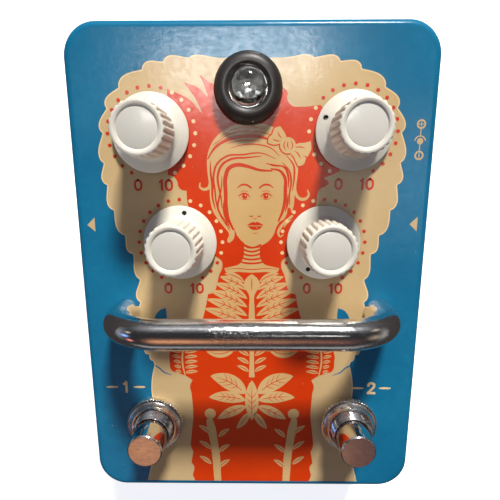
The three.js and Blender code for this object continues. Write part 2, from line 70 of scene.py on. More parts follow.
class Nodes:
    """Short ways to add nodes to one shader tree; an input may be a value or a socket."""

    def __init__(self, tree):
        self.tree = tree

    def node(self, kind, **settings):
        made = self.tree.nodes.new("ShaderNode" + kind)
        for key, value in settings.items():
            setattr(made, key, value)
        return made

    def feed(self, socket, value):
        if isinstance(value, bpy.types.NodeSocket):
            self.tree.links.new(value, socket)
        elif value is not None:
            socket.default_value = value

    def add(self, kind, inputs, out=0, **settings):
        """New node with its inputs fed; gives back one output."""
        made = self.node(kind, **settings)
        for key, value in inputs.items():
            self.feed(made.inputs[key], value)
        return made.outputs[out]

    def math(self, operation, a, b=None):
        return self.add("Math", {0: a, 1: b}, operation=operation)

    def mix(self, factor, a, b):
        return self.add("Mix", {0: factor, 6: a, 7: b}, 2, data_type="RGBA")

    def vector(self, operation, a, b, out=0):
        return self.add("VectorMath", {0: a, 1: b}, out, operation=operation)

    def scaled(self, vector, factor):
        return self.add("VectorMath", {0: vector, "Scale": factor}, operation="SCALE")


PRINCIPLED = {
    "color": "Base Color", "rough": "Roughness", "metal": "Metallic", "ior": "IOR",
    "coat": "Coat Weight", "coat_ior": "Coat IOR", "coat_rough": "Coat Roughness",
    "normal": "Normal", "coat_normal": "Coat Normal", "trans": "Transmission Weight",
    "sss": "Subsurface Weight", "sss_scale": "Subsurface Scale",
    "sss_radius": "Subsurface Radius", "spec": "Specular IOR Level",
    "emit": "Emission Color", "emit_strength": "Emission Strength",
}


class Mat(Nodes):
    """A material with one Principled node and textures in object coordinates."""

    def __init__(self, name):
        self.material = bpy.data.materials.new(name)
        self.material.use_nodes = True
        super().__init__(self.material.node_tree)
        self.shader = self.tree.nodes["Principled BSDF"]
        self.coord = self.add("TexCoord", {}, "Object")

    def stretched(self, stretch):
        if not stretch:
            return self.coord
        return self.add("Mapping", {"Vector": self.coord, "Scale": stretch}, "Vector")

    def noise(self, scale, detail=4.0, rough=0.5, stretch=None):
        return self.add("TexNoise", {"Scale": scale, "Detail": detail, "Roughness": rough,
                                     "Vector": self.stretched(stretch)}, "Fac")

    def voronoi(self, scale, stretch=None):
        return self.add("TexVoronoi", {"Scale": scale, "Vector": self.stretched(stretch)},
                        "Distance")

    def ramp(self, factor, stops):
        made = self.node("ValToRGB")
        elements = made.color_ramp.elements
        while len(elements) < len(stops):
            elements.new(0.5)
        for element, (position, colour) in zip(elements, stops):
            element.position = position
            element.color = colour
        self.feed(made.inputs["Fac"], factor)
        return made.outputs["Color"]

    def remap(self, value, over, to):
        return self.add("MapRange", {"Value": value, "From Min": over[0], "From Max": over[1],
                                     "To Min": to[0], "To Max": to[1]}, "Result")

    def bump(self, height, depth, strength=1.0, normal=None):
        return self.add("Bump", {"Distance": depth, "Strength": strength, "Height": height,
                                 "Normal": normal}, "Normal")

    def principled(self, **inputs):
        for key, value in inputs.items():
            self.feed(self.shader.inputs[PRINCIPLED[key]], value)
        return self.material


# --------------------------------------------------------------- kinds of material

def srgb(colour):
    """sRGB 0-255 to linear rgba."""
    out = []
    for c in colour:
        c = c / 255.0
        out.append(c / 12.92 if c <= 0.04045 else ((c + 0.055) / 1.055) ** 2.4)
    return (*out, 1.0)


def painted(name, base, dark, light, coat=1.0, rough=0.34, flake=True):
    """Gloss paint: slight mottling, orange peel in the clear coat, dust specks."""
    base, dark, light = srgb(base), srgb(dark), srgb(light)
    mat = Mat(name)
    cloud = mat.noise(38, detail=5, rough=0.55)
    colour = mat.ramp(cloud, [(0.30, dark), (0.55, base), (0.78, light)])
    if flake:
        fine = mat.noise(2600, detail=2, rough=0.6)
        colour = mat.mix(mat.remap(fine, over=(0.42, 0.72), to=(0.0, 0.28)), colour, light)
        patch = mat.noise(330, detail=5, rough=0.68)
        colour = mat.mix(mat.remap(patch, over=(0.40, 0.66), to=(0.0, 0.42)), colour, dark)
    dust = mat.remap(mat.voronoi(150), over=(0.0, 0.030), to=(0.75, 0.0))
    colour = mat.mix(dust, colour, srgb((226, 224, 216)))
    peel = mat.bump(mat.noise(760, detail=4, rough=0.62), depth=0.00004, strength=0.6)
    wave = mat.noise(95, detail=2, rough=0.5)
    normal = mat.bump(wave, depth=0.00006, strength=0.35, normal=peel)
    smear = mat.noise(62, detail=4, rough=0.6, stretch=(1.0, 0.45, 1.0))
    wear = mat.noise(640, detail=5, rough=0.7)
    return mat.principled(
        color=colour, rough=mat.remap(cloud, over=(0.3, 0.8), to=(rough, rough + 0.1)),
        metal=0.0, spec=0.06, coat_ior=1.32,
        coat=mat.remap(wear, over=(0.36, 0.62), to=(0.50 * coat, coat)),
        coat_rough=mat.remap(smear, over=(0.35, 0.75), to=(0.13, 0.27)),
        coat_normal=normal, normal=normal)


def chrome(name, tint, rough, pits, scratches, dirt, grain=1.0):
    """Polished plating with haze, pits, grime and scratches; grain over 1 adds dense scuffs."""
    mat = Mat(name)

    def toned(r, g, b):
        return (tint[0] * r, tint[1] * g, tint[2] * b, 1.0)

    haze = mat.noise(120, detail=5, rough=0.6)
    scratch = mat.noise(900, detail=2, rough=0.5, stretch=(0.06, 1.0, 1.0))
    fine = mat.noise(3200, detail=2, rough=0.5, stretch=(0.12, 1.0, 1.0))
    pit = mat.noise(1700, detail=4, rough=0.65)
    pitted = mat.remap(pit, over=(0.60, 0.74), to=(0.0, pits))
    grime = mat.remap(mat.noise(240, detail=5, rough=0.65), over=(0.52, 0.78), to=(0.0, dirt))
    colour = mat.mix(grime, (*tint, 1.0), toned(0.42, 0.39, 0.35))
    colour = mat.mix(pitted, colour, toned(0.30, 0.29, 0.28))
    dull = mat.remap(haze, over=(0.35, 0.75), to=(rough, rough + 0.07))
    dull = mat.math("ADD", dull, mat.math("MULTIPLY", pitted, 0.35))
    scratched = mat.remap(scratch, over=(0.56, 0.70), to=(0.0, 1.0))
    dull = mat.math("ADD", dull, mat.math("MULTIPLY", scratched, 0.12 * scratches))
    worn = mat.remap(mat.noise(70, detail=4, rough=0.6), over=(0.35, 0.62), to=(0.15, 1.0))
    normal = None
    for height, depth, strength in ((scratch, 0.000012, scratches), (fine, 0.000008, scratches),
                                    (pit, 0.000018, pits)):
        normal = mat.bump(mat.math("MULTIPLY", height, worn), depth=depth * grain,
                          strength=0.6 * strength, normal=normal)
    if grain > 1:
        scuff = mat.noise(1900, detail=3, rough=0.75, stretch=(0.55, 1.0, 1.0))
        scuff = mat.remap(scuff, over=(0.50, 0.60), to=(0.0, 1.0))
        scuff = mat.math("MULTIPLY", scuff, worn)
        dull = mat.math("ADD", dull, mat.math("MULTIPLY", scuff, 0.17))
    return mat.principled(color=colour, metal=1.0, rough=dull, normal=normal)


def plated(name, dark, light, rough=0.3):
    """Satin metal between two linear colours."""
    mat = Mat(name)
    grain = mat.noise(700, detail=4, rough=0.6)
    return mat.principled(
        color=mat.ramp(grain, [(0.35, (*dark, 1)), (0.7, (*light, 1))]), metal=1.0,
        rough=mat.remap(grain, over=(0.3, 0.75), to=(rough, rough + 0.14)),
        normal=mat.bump(grain, depth=0.00001, strength=0.4))


def moulded(name, dark, light, rough=0.35, sss=0.0, coat=0.0, spec=0.5):
    """Moulded plastic."""
    mat = Mat(name)
    cloud = mat.noise(55, detail=4, rough=0.55)
    grain = mat.noise(1260, detail=3, rough=0.6)
    return mat.principled(
        color=mat.ramp(cloud, [(0.3, srgb(dark)), (0.72, srgb(light))]),
        rough=mat.remap(grain, over=(0.3, 0.75), to=(rough, rough + 0.09)),
        normal=mat.bump(grain, depth=0.000008, strength=0.4),
        sss=sss, sss_scale=0.0016, sss_radius=(1.0, 0.85, 0.6),
        coat=coat, coat_rough=0.12, spec=spec)


def rubber(name):
    mat = Mat(name)
    grain = mat.noise(1400, detail=4, rough=0.65)
    return mat.principled(
        color=mat.ramp(grain, [(0.35, srgb((22, 22, 23))), (0.7, srgb((46, 45, 44)))]),
        rough=mat.remap(grain, over=(0.3, 0.75), to=(0.62, 0.85)),
        normal=mat.bump(grain, depth=0.00003, strength=0.5))


def circuit_board(name):
    mat = Mat(name)
    trace = mat.voronoi(900, stretch=(1.0, 0.22, 1.0))
    edge = mat.remap(trace, over=(0.28, 0.34), to=(0.0, 1.0))
    return mat.principled(
        color=mat.mix(edge, srgb((34, 112, 64)), srgb((20, 84, 46))),
        rough=0.38, coat=0.3, normal=mat.bump(trace, depth=0.00002, strength=0.3))


def clear_plastic(name, tint, rough, ior):
    """See-through; shadow rays pass, so what lies under it is lit."""
    mat = Mat(name)
    cloud = mat.noise(210, detail=3, rough=0.5)
    faint = (*(c * 0.97 for c in tint), 1)
    mat.principled(
        color=mat.ramp(cloud, [(0.3, faint), (0.7, (*tint, 1))]),
        rough=mat.remap(cloud, over=(0.35, 0.75), to=(rough, rough + 0.03)),
        trans=1.0, ior=ior, normal=mat.bump(cloud, depth=0.00001, strength=0.25))
    shadow = mat.add("LightPath", {}, "Is Shadow Ray")
    clear = mat.add("BsdfTransparent", {"Color": (*tint, 1)})
    surface = mat.add("MixShader", {0: shadow, 1: mat.shader.outputs[0], 2: clear})
    mat.feed(mat.tree.nodes["Material Output"].inputs["Surface"], surface)
    return mat.material


def led_epoxy(name):
    """Smoky epoxy; its bright flecks are painted glints, on the noise that also bumps it as
    crazing.
    """
    mat = Mat(name)
    craze_and_glints = mat.noise(520, detail=4, rough=0.65, stretch=(1.0, 0.5, 1.0))
    # the pale stop at 0.62 is painted glints, not a colour of the epoxy
    colour = mat.ramp(craze_and_glints, [
        (0.40, (0.055, 0.056, 0.058, 1)), (0.54, (0.13, 0.13, 0.125, 1)),
        (0.62, (0.42, 0.42, 0.38, 1)), (0.70, (0.16, 0.17, 0.20, 1))])
    haze = mat.noise(900, detail=3, rough=0.6)
    return mat.principled(
        color=colour, rough=mat.remap(haze, over=(0.3, 0.7), to=(0.06, 0.22)),
        coat=0.7, coat_rough=0.04, normal=mat.bump(craze_and_glints, depth=0.00020, strength=0.5))


def chrome_cap(name):
    """Chrome sides, and a top dulled by shoes."""
    mat = Mat(name)
    haze = mat.noise(420, detail=4, rough=0.6)
    scuff = mat.noise(1500, detail=3, rough=0.6, stretch=(0.35, 1.0, 1.0))
    up = mat.add("SeparateXYZ", {0: mat.add("NewGeometry", {}, "Normal")}, "Z")
    top = mat.remap(up, over=(0.90, 0.99), to=(0.0, 1.0))
    side_rough = mat.remap(haze, over=(0.35, 0.75), to=(0.05, 0.12))
    top_rough = mat.remap(scuff, over=(0.35, 0.75), to=(0.20, 0.34))
    side_part = mat.math("MULTIPLY", side_rough, mat.math("SUBTRACT", 1.0, top))
    top_part = mat.math("MULTIPLY", top_rough, top)
    return mat.principled(
        color=mat.ramp(haze, [(0.35, (0.76, 0.73, 0.71, 1)), (0.72, (0.86, 0.85, 0.83, 1))]),
        metal=1.0, rough=mat.math("ADD", side_part, top_part),
        normal=mat.bump(scuff, depth=0.000012, strength=0.5))


# ---------------------------------------------------------------------- materials

TEAL = painted("paint_teal", (16, 108, 144), (10, 98, 134), (26, 118, 152))
# inks: base, dark and light tone
CREAM, CREAM_LIGHT, FIGURE, RED, LINE_RED, DOT_RED = (
    painted("print_" + name, *tones, flake=False) for name, *tones in (
        ("cream", (199, 172, 125), (190, 161, 113), (206, 182, 138)),
        ("cream_light", (230, 200, 150), (222, 190, 138), (236, 208, 160)),
        ("figure", (205, 168, 112), (197, 158, 101), (212, 178, 124)),
        ("red", (204, 56, 3), (196, 49, 1), (211, 63, 7)),
        ("line_red", (200, 58, 18), (190, 50, 12), (208, 66, 26)),
        ("dot_red", (196, 50, 22), (186, 44, 16), (204, 60, 30)),
    ))
STEEL_DARK = painted("paint_base_plate", (46, 50, 54), (36, 40, 44), (58, 62, 66),
                     coat=0.2, rough=0.5)
CHROME_BAR = chrome("chrome_bar", tint=(0.83, 0.82, 0.80), rough=0.05, pits=0.60,
                    scratches=0.7, dirt=0.30, grain=6.5)
CHROME = chrome("chrome_switch", tint=(0.82, 0.81, 0.80), rough=0.07, pits=0.18,
                scratches=0.35, dirt=0.18)
NUT = chrome("nut_chrome", tint=(0.80, 0.78, 0.74), rough=0.17, pits=0.45,
             scratches=0.5, dirt=0.35, grain=3.0)
ZINC = plated("zinc_plate", (0.50, 0.50, 0.49), (0.66, 0.66, 0.65))
NICKEL = plated("nickel_plate", (0.52, 0.50, 0.46), (0.64, 0.62, 0.58), rough=0.24)
BRASS = plated("turned_brass", (0.56, 0.40, 0.17), (0.70, 0.53, 0.26), rough=0.22)
KNOB = moulded("knob_ivory", (208, 204, 190), (215, 211, 197), rough=0.36, sss=0.15,
               coat=0.06, spec=0.3)
PEARL = moulded("knob_pearl", (197, 195, 183), (205, 202, 190), rough=0.34, sss=0.15,
                coat=0.12, spec=0.3)
BEZEL = moulded("bezel_black", (30, 27, 26), (44, 41, 39), rough=0.40, spec=0.4)
SOCKET = moulded("socket_black", (20, 20, 21), (34, 34, 35), rough=0.42)
CASE_BLUE = moulded("switch_case_blue", (34, 78, 150), (46, 92, 166), rough=0.45)
CHIP = moulded("chip_epoxy", (24, 24, 25), (38, 38, 38), rough=0.55)
CABLE = moulded("cable_grey", (128, 130, 134), (150, 152, 156), rough=0.5)
RUBBER = rubber("foot_rubber")
POINTER = moulded("pointer_black", (26, 26, 27), (44, 44, 46), rough=0.22, coat=0.4)
BOARD = circuit_board("board_green")
LENS = clear_plastic("jewel_clear", tint=(0.97, 0.985, 0.99), rough=0.01, ior=1.49)
LED = led_epoxy("led_epoxy")
MIRROR = plated("bright_reflector", (0.80, 0.80, 0.80), (0.90, 0.90, 0.89), rough=0.16)
CAP = chrome_cap("chrome_cap")


# ------------------------------------------------------------------- mesh helpers
# A shape is a pair: vertices in mm, and faces.

def new_object(name, shape, *mats):
    mesh = bpy.data.meshes.new(name)
    mesh.from_pydata([tuple(c * MM for c in v) for v in shape[0]], [], shape[1])
    for mat in mats:
        mesh.materials.append(mat)
    ob = bpy.data.objects.new(name, mesh)
    scene.collection.objects.link(ob)
    return ob


def make(name, shape, *mats, body="chassis", slot=None, sharp=32, replaces=None,
         face_mats=None):
    """A finished piece: welded, shaded, riding on its body."""
    ob = new_object(name, shape, *mats)
    if face_mats is not None:
        ob.data.polygons.foreach_set("material_index", face_mats)
    finish(ob, sharp)
    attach(ob, body)
    if replaces:
        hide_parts(replaces)
    return ob


def tidy(ob):
    bm = bmesh.new()
    bm.from_mesh(ob.data)
    bmesh.ops.remove_doubles(bm, verts=bm.verts, dist=1e-7)
    bmesh.ops.dissolve_degenerate(bm, dist=1e-8, edges=bm.edges)
    bmesh.ops.recalc_face_normals(bm, faces=bm.faces)
    bm.to_mesh(ob.data)
    bm.free()


def shade(ob, sharp):
    """Smooth, but for edges over `sharp` degrees; flat where sharp is None."""
    mesh = ob.data
    smooth = sharp is not None
    mesh.polygons.foreach_set("use_smooth", [smooth] * len(mesh.polygons))
    if smooth:
        mesh.set_sharp_from_angle(angle=math.radians(sharp))
    mesh.update()


def finish(ob, sharp):
    tidy(ob)
    shade(ob, sharp)


def lift(points, z):
    """Profile points (r, z) or (r, z, radius) moved up by z."""
    return [(p[0], z + p[1], *p[2:]) for p in points]


def column(r, start, end, steps):
    """Profile points at one radius, evenly spaced."""
    return [(r, start + (end - start) * i / steps) for i in range(steps + 1)]


def dome(r, z, rise, steps):
    """Profile points of a quarter ellipse up to the axis, without its first point."""
    angles = [math.pi / 2 * i / steps for i in range(1, steps)]
    return [(r * math.cos(a), z + rise * math.sin(a)) for a in angles] + [(0, z + rise)]


def fillet(points, steps=5, closed=False):
    """Profile corners rounded: each point is (r, z) or (r, z, radius)."""
    count = len(points)
    out = []
    for i, point in enumerate(points):
        radius = point[2] if len(point) > 2 else 0.0
        if radius <= 0 or (not closed and i in (0, count - 1)):
            out.append((point[0], point[1]))
            continue
        corner = np.array(point[:2], float)
        back = np.array(points[i - 1][:2], float) - corner
        ahead = np.array(points[(i + 1) % count][:2], float) - corner
        back_length, ahead_length = np.linalg.norm(back), np.linalg.norm(ahead)
        back, ahead = back / back_length, ahead / ahead_length
        angle = math.acos(float(np.clip(back @ ahead, -1, 1)))
        if angle > math.pi - 0.03:
            out.append(tuple(corner))
            continue
        reach = min(radius / math.tan(angle / 2), back_length * 0.49, ahead_length * 0.49)
        r = reach * math.tan(angle / 2)
        middle = (back + ahead) / np.linalg.norm(back + ahead)
        centre = corner + middle * (r / math.sin(angle / 2))
        first = math.atan2(*(corner + back * reach - centre)[::-1])
        last = math.atan2(*(corner + ahead * reach - centre)[::-1])
        sweep = (last - first + math.pi) % (2 * math.pi) - math.pi
        for k in range(steps + 1):
            t = first + sweep * k / steps
            out.append((float(centre[0] + r * math.cos(t)), float(centre[1] + r * math.sin(t))))
    return out


def turned(profile, seg, closed=False, radius_of=None):
    """Shape turned about Z; radius_of(r, z, angle) may ripple it."""
    verts, faces, rows = [], [], []
    for r, z in profile:
        start = len(verts)
        if r < 1e-6:
            verts.append((0.0, 0.0, z))
        else:
            for k in range(seg):
                t = 2 * math.pi * k / seg
                reach = radius_of(r, z, t) if radius_of else r
                verts.append((reach * math.cos(t), reach * math.sin(t), z))
        rows.append(range(start, len(verts)))
    for a, b in list(zip(rows, rows[1:])) + ([(rows[-1], rows[0])] if closed else []):
        if len(a) == 1 and len(b) == 1:
            continue
        for k in range(seg):
            after = (k + 1) % seg
            if len(a) == 1:
                faces.append((a[0], b[k], b[after]))
            elif len(b) == 1:
                faces.append((a[after], a[k], b[0]))
            else:
                faces.append((a[k], b[k], b[after], a[after]))
    return verts, faces


def place(shape, at, facing=0, turn=0.0):
    """Shape turned about Z, laid along +X or -X where facing is 1 or -1, and moved.

    A place given as (x, y) stands at z = 0.
    """
    dx, dy, dz = (*at, 0)[:3]
    cos, sin = math.cos(turn), math.sin(turn)
    out = []
    for x, y, z in shape[0]:
        x, y = x * cos - y * sin, x * sin + y * cos
        if facing:
            x, y, z = z * facing, y * facing, -x
        out.append((x + dx, y + dy, z + dz))
    return out, shape[1]


def lathe(name, profile, seg, mat, at, closed=False, facing=0, radius_of=None, **options):
    shape = place(turned(profile, seg, closed, radius_of), at, facing)
    return make(name, shape, mat, **options)


def cylinder(r, start, end, at, seg=32, facing=0):
    return place(turned([(0, start), (r, start), (r, end), (0, end)], seg), at, facing)


def box(x_span, y_span, z_span):
    verts = [(x, y, z) for z in z_span for y in y_span for x in x_span]
    return verts, [(0, 2, 3, 1), (4, 5, 7, 6), (0, 1, 5, 4), (2, 6, 7, 3), (0, 4, 6, 2),
                   (1, 3, 7, 5)]


def join(shapes):
    verts, faces = [], []
    for more_verts, more_faces in shapes:
        base = len(verts)
        verts += more_verts
        faces += [tuple(base + i for i in face) for face in more_faces]
    return verts, faces


def bands(rows):
    """Quads between rings of vertex numbers."""
    faces = []
    for a, b in zip(rows, rows[1:]):
        for k in range(len(a)):
            after = (k + 1) % len(a)
            faces.append((a[k], a[after], b[after], b[k]))
    return faces


def stack(rings):
    """Capped form through (outline, z) rings of equal point counts."""
    count = len(rings[0][0])
    verts = [(x, y, z) for outline, z in rings for x, y in outline]
    rows = [range(i * count, (i + 1) * count) for i in range(len(rings))]
    return verts, bands(rows) + [tuple(rows[0][::-1]), tuple(rows[-1])]


def rounded_rect(width, length, r, steps=14, guard=0.25):
    """Counter-clockwise outline, with a guard point beside each arc end."""
    points = []
    for x_side, y_side, start in ((1, -1, -90), (1, 1, 0), (-1, 1, 90), (-1, -1, 180)):
        cx, cy = x_side * (width / 2 - r), y_side * (length / 2 - r)
        angles = [math.radians(start + 90 * k / steps) for k in range(steps + 1)]
        arc = [(cx + r * math.cos(a), cy + r * math.sin(a)) for a in angles]
        a, b = math.radians(start), math.radians(start + 90)
        arc.insert(0, (arc[0][0] + guard * math.sin(a), arc[0][1] - guard * math.cos(a)))
        arc.append((arc[-1][0] - guard * math.sin(b), arc[-1][1] + guard * math.cos(b)))
        points += arc
    return points


def bevel(ob, width, segments, angle=30):
    modifier = ob.modifiers.new("bevel", "BEVEL")
    modifier.width = width * MM
    modifier.segments = segments
    modifier.limit_method = "ANGLE"
    modifier.angle_limit = math.radians(angle)


def apply_modifiers(ob):
    graph = bpy.context.evaluated_depsgraph_get()
    mesh = bpy.data.meshes.new_from_object(ob.evaluated_get(graph), depsgraph=graph)
    old = ob.data
    ob.modifiers.clear()
    ob.data = mesh
    mesh.name = old.name
    bpy.data.meshes.remove(old)


def cut(ob, shapes):
    for shape in shapes:
        cutter = new_object("cutter", shape)
        tidy(cutter)
        modifier = ob.modifiers.new("cut", "BOOLEAN")
        modifier.operation = "DIFFERENCE"
        modifier.solver = "EXACT"
        modifier.object = cutter
        bpy.context.view_layer.update()
        apply_modifiers(ob)
        mesh = cutter.data
        bpy.data.objects.remove(cutter)
        bpy.data.meshes.remove(mesh)


def low(node):
    return tuple(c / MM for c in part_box(node)[0])


def high(node):
    return tuple(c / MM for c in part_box(node)[1])


def mid(node):
    lo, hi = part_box(node)
    return tuple((lo[i] + hi[i]) / 2 / MM for i in range(3))


# ------------------------------------------------------------ places from the CAD

HALF_X, HALF_Y, FACE = high("enclosure")        # FACE is the height of the top face
RIM = low("enclosure")[2]
KNOBS = ("volume", "gain", "eq", "blend")
KNOB_AT = {knob: mid(knob + "_pot_nut")[:2] for knob in KNOBS}
JOINTS = {joint["name"]: joint for joint in frame["joints"]}
LAMP_AT = mid("lamp_bezel")[:2]
SWITCH_AT = {side: mid(side + "_switch_dress_nut")[:2] for side in ("left", "right")}
BAR_LO, BAR_HI = low("guard_bar"), high("guard_bar")
BAR_R = (BAR_HI[1] - BAR_LO[1]) / 2
BAR_X = BAR_HI[0] - BAR_R                        # middle of each leg
BAR_Y = (BAR_HI[1] + BAR_LO[1]) / 2
INPUT_AT = (HALF_X, *mid("input_jack")[1:])
OUTPUT_AT = (-HALF_X, *mid("output_jack")[1:])
POWER_AT = (HALF_X, *mid("power_jack")[1:])
EDGE_R, CORNER_R, WALL, TOP_THICK = 1.8, 9.0, 2.5, 2.5


# ---------------------------------------------------------------------- enclosure

BOSS_R = 4.0


def hollow():
    """Room inside the walls, leaving a boss in each corner."""
    boss_x, boss_y = mid("base_screw_2")[:2]
    inner_x, inner_y = HALF_X - WALL, HALF_Y - WALL
    quarter = [(boss_x - BOSS_R, inner_y)]
    for k in range(9):
        a = math.radians(180 + 90 * k / 8)
        quarter.append((boss_x + BOSS_R * math.cos(a), boss_y + BOSS_R * math.sin(a)))
    quarter.append((inner_x, boss_y - BOSS_R))
    loop = quarter[::-1]
    loop += [(-x, y) for x, y in quarter]
    loop += [(-x, -y) for x, y in quarter[::-1]]
    loop += [(x, -y) for x, y in quarter]
    return stack([(loop, RIM - 3), (loop, FACE - TOP_THICK)])


def build_enclosure():
    def ring(inset, z):
        outline = rounded_rect(2 * HALF_X - 2 * inset, 2 * HALF_Y - 2 * inset, CORNER_R - inset)
        return outline, z

    def top_hole(r, at, seg):
        return cylinder(r, FACE - 6, FACE + 3, at, seg)

    rings = [ring(0, RIM), ring(0, RIM + 0.4), ring(0, FACE - EDGE_R - 0.3)]
    steps = 9
    for k in range(steps + 1):
        a = math.pi / 2 * k / steps
        rings.append(ring(EDGE_R * (1 - math.cos(a)), FACE - EDGE_R + EDGE_R * math.sin(a)))
    rings.append(ring(EDGE_R + 0.3, FACE))
    ob = make("enclosure_shell", stack(rings), TEAL, slot="painted_shell", replaces="enclosure")

    boss_x, boss_y = mid("base_screw_2")[:2]
    cuts = [hollow()]
    for x_side in (-1, 1):
        for y_side in (-1, 1):
            cuts.append(cylinder(1.75, RIM - 1, RIM + 14, (x_side * boss_x, y_side * boss_y), 20))
        cuts.append(top_hole(2.8, (x_side * BAR_X, BAR_Y), 24))
    cuts += [top_hole(3.62, at, 32) for at in KNOB_AT.values()]
    cuts += [top_hole(6.12, at, 40) for at in SWITCH_AT.values()]
    cuts.append(top_hole(5.97, LAMP_AT, 40))
    right, left = (HALF_X - 6, HALF_X + 4), (-HALF_X - 4, -HALF_X + 6)
    for r, span, at in ((4.87, right, INPUT_AT), (4.87, left, OUTPUT_AT), (6.02, right, POWER_AT)):
        cuts.append(cylinder(r, *span, (0, *at[1:]), facing=1))
    cut(ob, cuts)
    finish(ob, 32)


def build_base_plate():
    z0 = low("base_plate")[2]
    half_x, half_y, z1 = high("base_plate")
    # columns: inset, z
    rings = [(0.45, z0), (0.22, z0 + 0.06), (0.06, z0 + 0.22), (0, z0 + 0.45), (0, z1 - 0.1),
             (0.1, z1)]
    shape = stack([(rounded_rect(half_x * 2 - 2 * inset, half_y * 2 - 2 * inset,
                                 CORNER_R - 0.3 - inset), z) for inset, z in rings])
    ob = make("base_plate_fine", shape, STEEL_DARK, slot="base_steel", replaces="base_plate")
    countersink = [(0, z0 - 1), (3.65, z0 - 1), (3.65, z0 + 0.1), (1.9, z0 + 1.75),
                   (1.9, z1 + 1), (0, z1 + 1)]
    cut(ob, [place(turned(countersink, 36), mid(f"base_screw_{n}")[:2]) for n in range(1, 5)])
    finish(ob, 30)


def build_base_screw(node):
    at = mid(node)[:2]
    z0, z1 = low(node)[2], high(node)[2]
    profile = fillet(lift([(0, 0), (3.3, 0, 0.12), (3.3, 0.25, 0.1), (1.6, 1.85, 0.15)], z0), 3)
    z = z0 + 2.0
    while z < z1 - 1.0:                          # rolled thread
        profile += [(1.55, z), (1.25, z + 0.3)]
        z += 0.6
    profile += [(1.2, z1 - 0.6), (0.5, z1), (0, z1)]
    screw = lathe(node + "_fine", profile, 32, ZINC, at, slot="fastener_zinc", replaces=node)
    cross = []
    for a, b in ((1.9, 0.42), (0.42, 1.9)):
        mouth = [(-a, -b), (a, -b), (a, b), (-a, b)]
        bottom = [(-a * 0.55, -b * 0.7), (a * 0.55, -b * 0.7), (a * 0.55, b * 0.7),
                  (-a * 0.55, b * 0.7)]
        cross.append(place(stack([(mouth, z0 - 0.5), (mouth, z0 + 0.02), (bottom, z0 + 1.15)]), at))
    cut(screw, cross)
    finish(screw, 30)


def build_foot(node):
    top = high(node)[2]
    profile = fillet([(0, 0.35), (2.0, 0.35, 0.2), (2.35, 0, 0.15), (5.9, 0, 0.5),
                      (6.45, top - 0.5, 0.3), (6.55, top, 0.1), (0, top)], 4)
    lathe(node + "_fine", profile, 56, RUBBER, mid(node)[:2], slot="foot_rubber", replaces=node)


build_enclosure()
build_base_plate()
for n in range(1, 5):
    build_base_screw(f"base_screw_{n}")
for n in range(1, 5):
    build_foot(f"foot_{n}")


# ---------------------------------------------------------------------- guard bar

BEND_R = 13.8
BOLT_R, BOLT_DEPTH, BOLT_TIP = 2.6, 12.0, 13.4


def bar_path():
    """Middle line of the bar from the left foot to the right, and its directions."""
    top, foot = BAR_HI[2] - BAR_R, BAR_LO[2] + 0.25
    shoulder = top - BEND_R
    path, along = [], []
    for k in range(7):
        path.append((-BAR_X, BAR_Y, foot + (shoulder - BAR_LO[2] - 0.25) * k / 6))
        along.append((0, 0, 1))
    steps = 30
    for k in range(1, steps + 1):
        a = math.pi / 2 * k / steps
        path.append((-BAR_X + BEND_R * (1 - math.cos(a)), BAR_Y, shoulder + BEND_R * math.sin(a)))
        along.append((math.sin(a), 0, math.cos(a)))
    side_path, side_along = path[:], along[:]
    for k in range(1, 13):
        path.append((-(BAR_X - BEND_R) + 2 * (BAR_X - BEND_R) * k / 13, BAR_Y, top))
        along.append((1, 0, 0))
    path += [(-x, y, z) for x, y, z in side_path[::-1]]
    along += [(x, 0, -z) for x, _, z in side_along[::-1]]
    return path, along


def build_bar():
    path, along = bar_path()
    z0 = BAR_LO[2]
    seg = 64
    across = np.array((0, 1, 0), float)
    verts = []
    for point, direction in zip(path, along):
        direction = np.array(direction, float) / np.linalg.norm(direction)
        normal = np.cross(across, direction)
        for k in range(seg):
            a = 2 * math.pi * k / seg
            offset = BAR_R * (math.cos(a) * normal + math.sin(a) * across)
            verts.append(tuple(np.array(point) + offset))
    rows = [range(i * seg, (i + 1) * seg) for i in range(len(path))]
    faces = bands(rows)
    # eased end, then the blind bolt hole, at each foot
    for centre, ring in ((path[0], rows[0]), (path[-1], rows[-1])):
        end_rows = [ring]
        for r, z in ((BAR_R - 0.25, z0), (BOLT_R, z0), (BOLT_R, z0 + BOLT_DEPTH)):
            end_rows.append(range(len(verts), len(verts) + seg))
            for i in ring:
                out = np.array(verts[i]) - np.array((centre[0], centre[1], verts[i][2]))
                out = out / np.linalg.norm(out)
                verts.append((centre[0] + out[0] * r, centre[1] + out[1] * r, z))
        faces += bands(end_rows)
        last, tip = end_rows[-1], len(verts)
        verts.append((centre[0], centre[1], z0 + BOLT_TIP))
        faces += [(last[k], last[(k + 1) % seg], tip) for k in range(seg)]
    make("guard_bar_fine", (verts, faces), CHROME_BAR, slot="bar_chrome", replaces="guard_bar")


build_bar()


# -------------------------------------------------------------------------- knobs
# Heights in the profiles from here to the foot switches are above the top face.

RIBS = 24
GRIP_LOW, GRIP_HIGH, RIB_END = 3.9, 16.7, 17.45
POINTER_OUT = 8.6                                # from the knob's axis
KNOB_FOOT = [                                    # r, z, corner radius: bore and skirt
    (0, 14.2), (4.4, 14.2), (4.4, 4.1), (6.0, 4.1, 0.1), (6.0, 1.0, 0.2), (10.4, 1.0, 0.18),
    (10.45, 1.72, 0.30), (7.8, 2.75, 0.6), (6.98, 3.35, 0.5),
]
KNOB_TOP = [
    (6.73, 16.7), (6.60, 17.40, 0.45), (5.95, 17.52, 0.40), (5.35, 17.36, 0.50),
    (4.98, 16.98, 0.10), (4.86, 17.02, 0.08),
]
POINTER_CUP = [
    (0, 1.80), (0.62, 1.80, 0.1), (0.62, 2.50, 0.06), (0.50, 2.52, 0.06), (0.34, 2.16, 0.15),
    (0, 2.10),
]


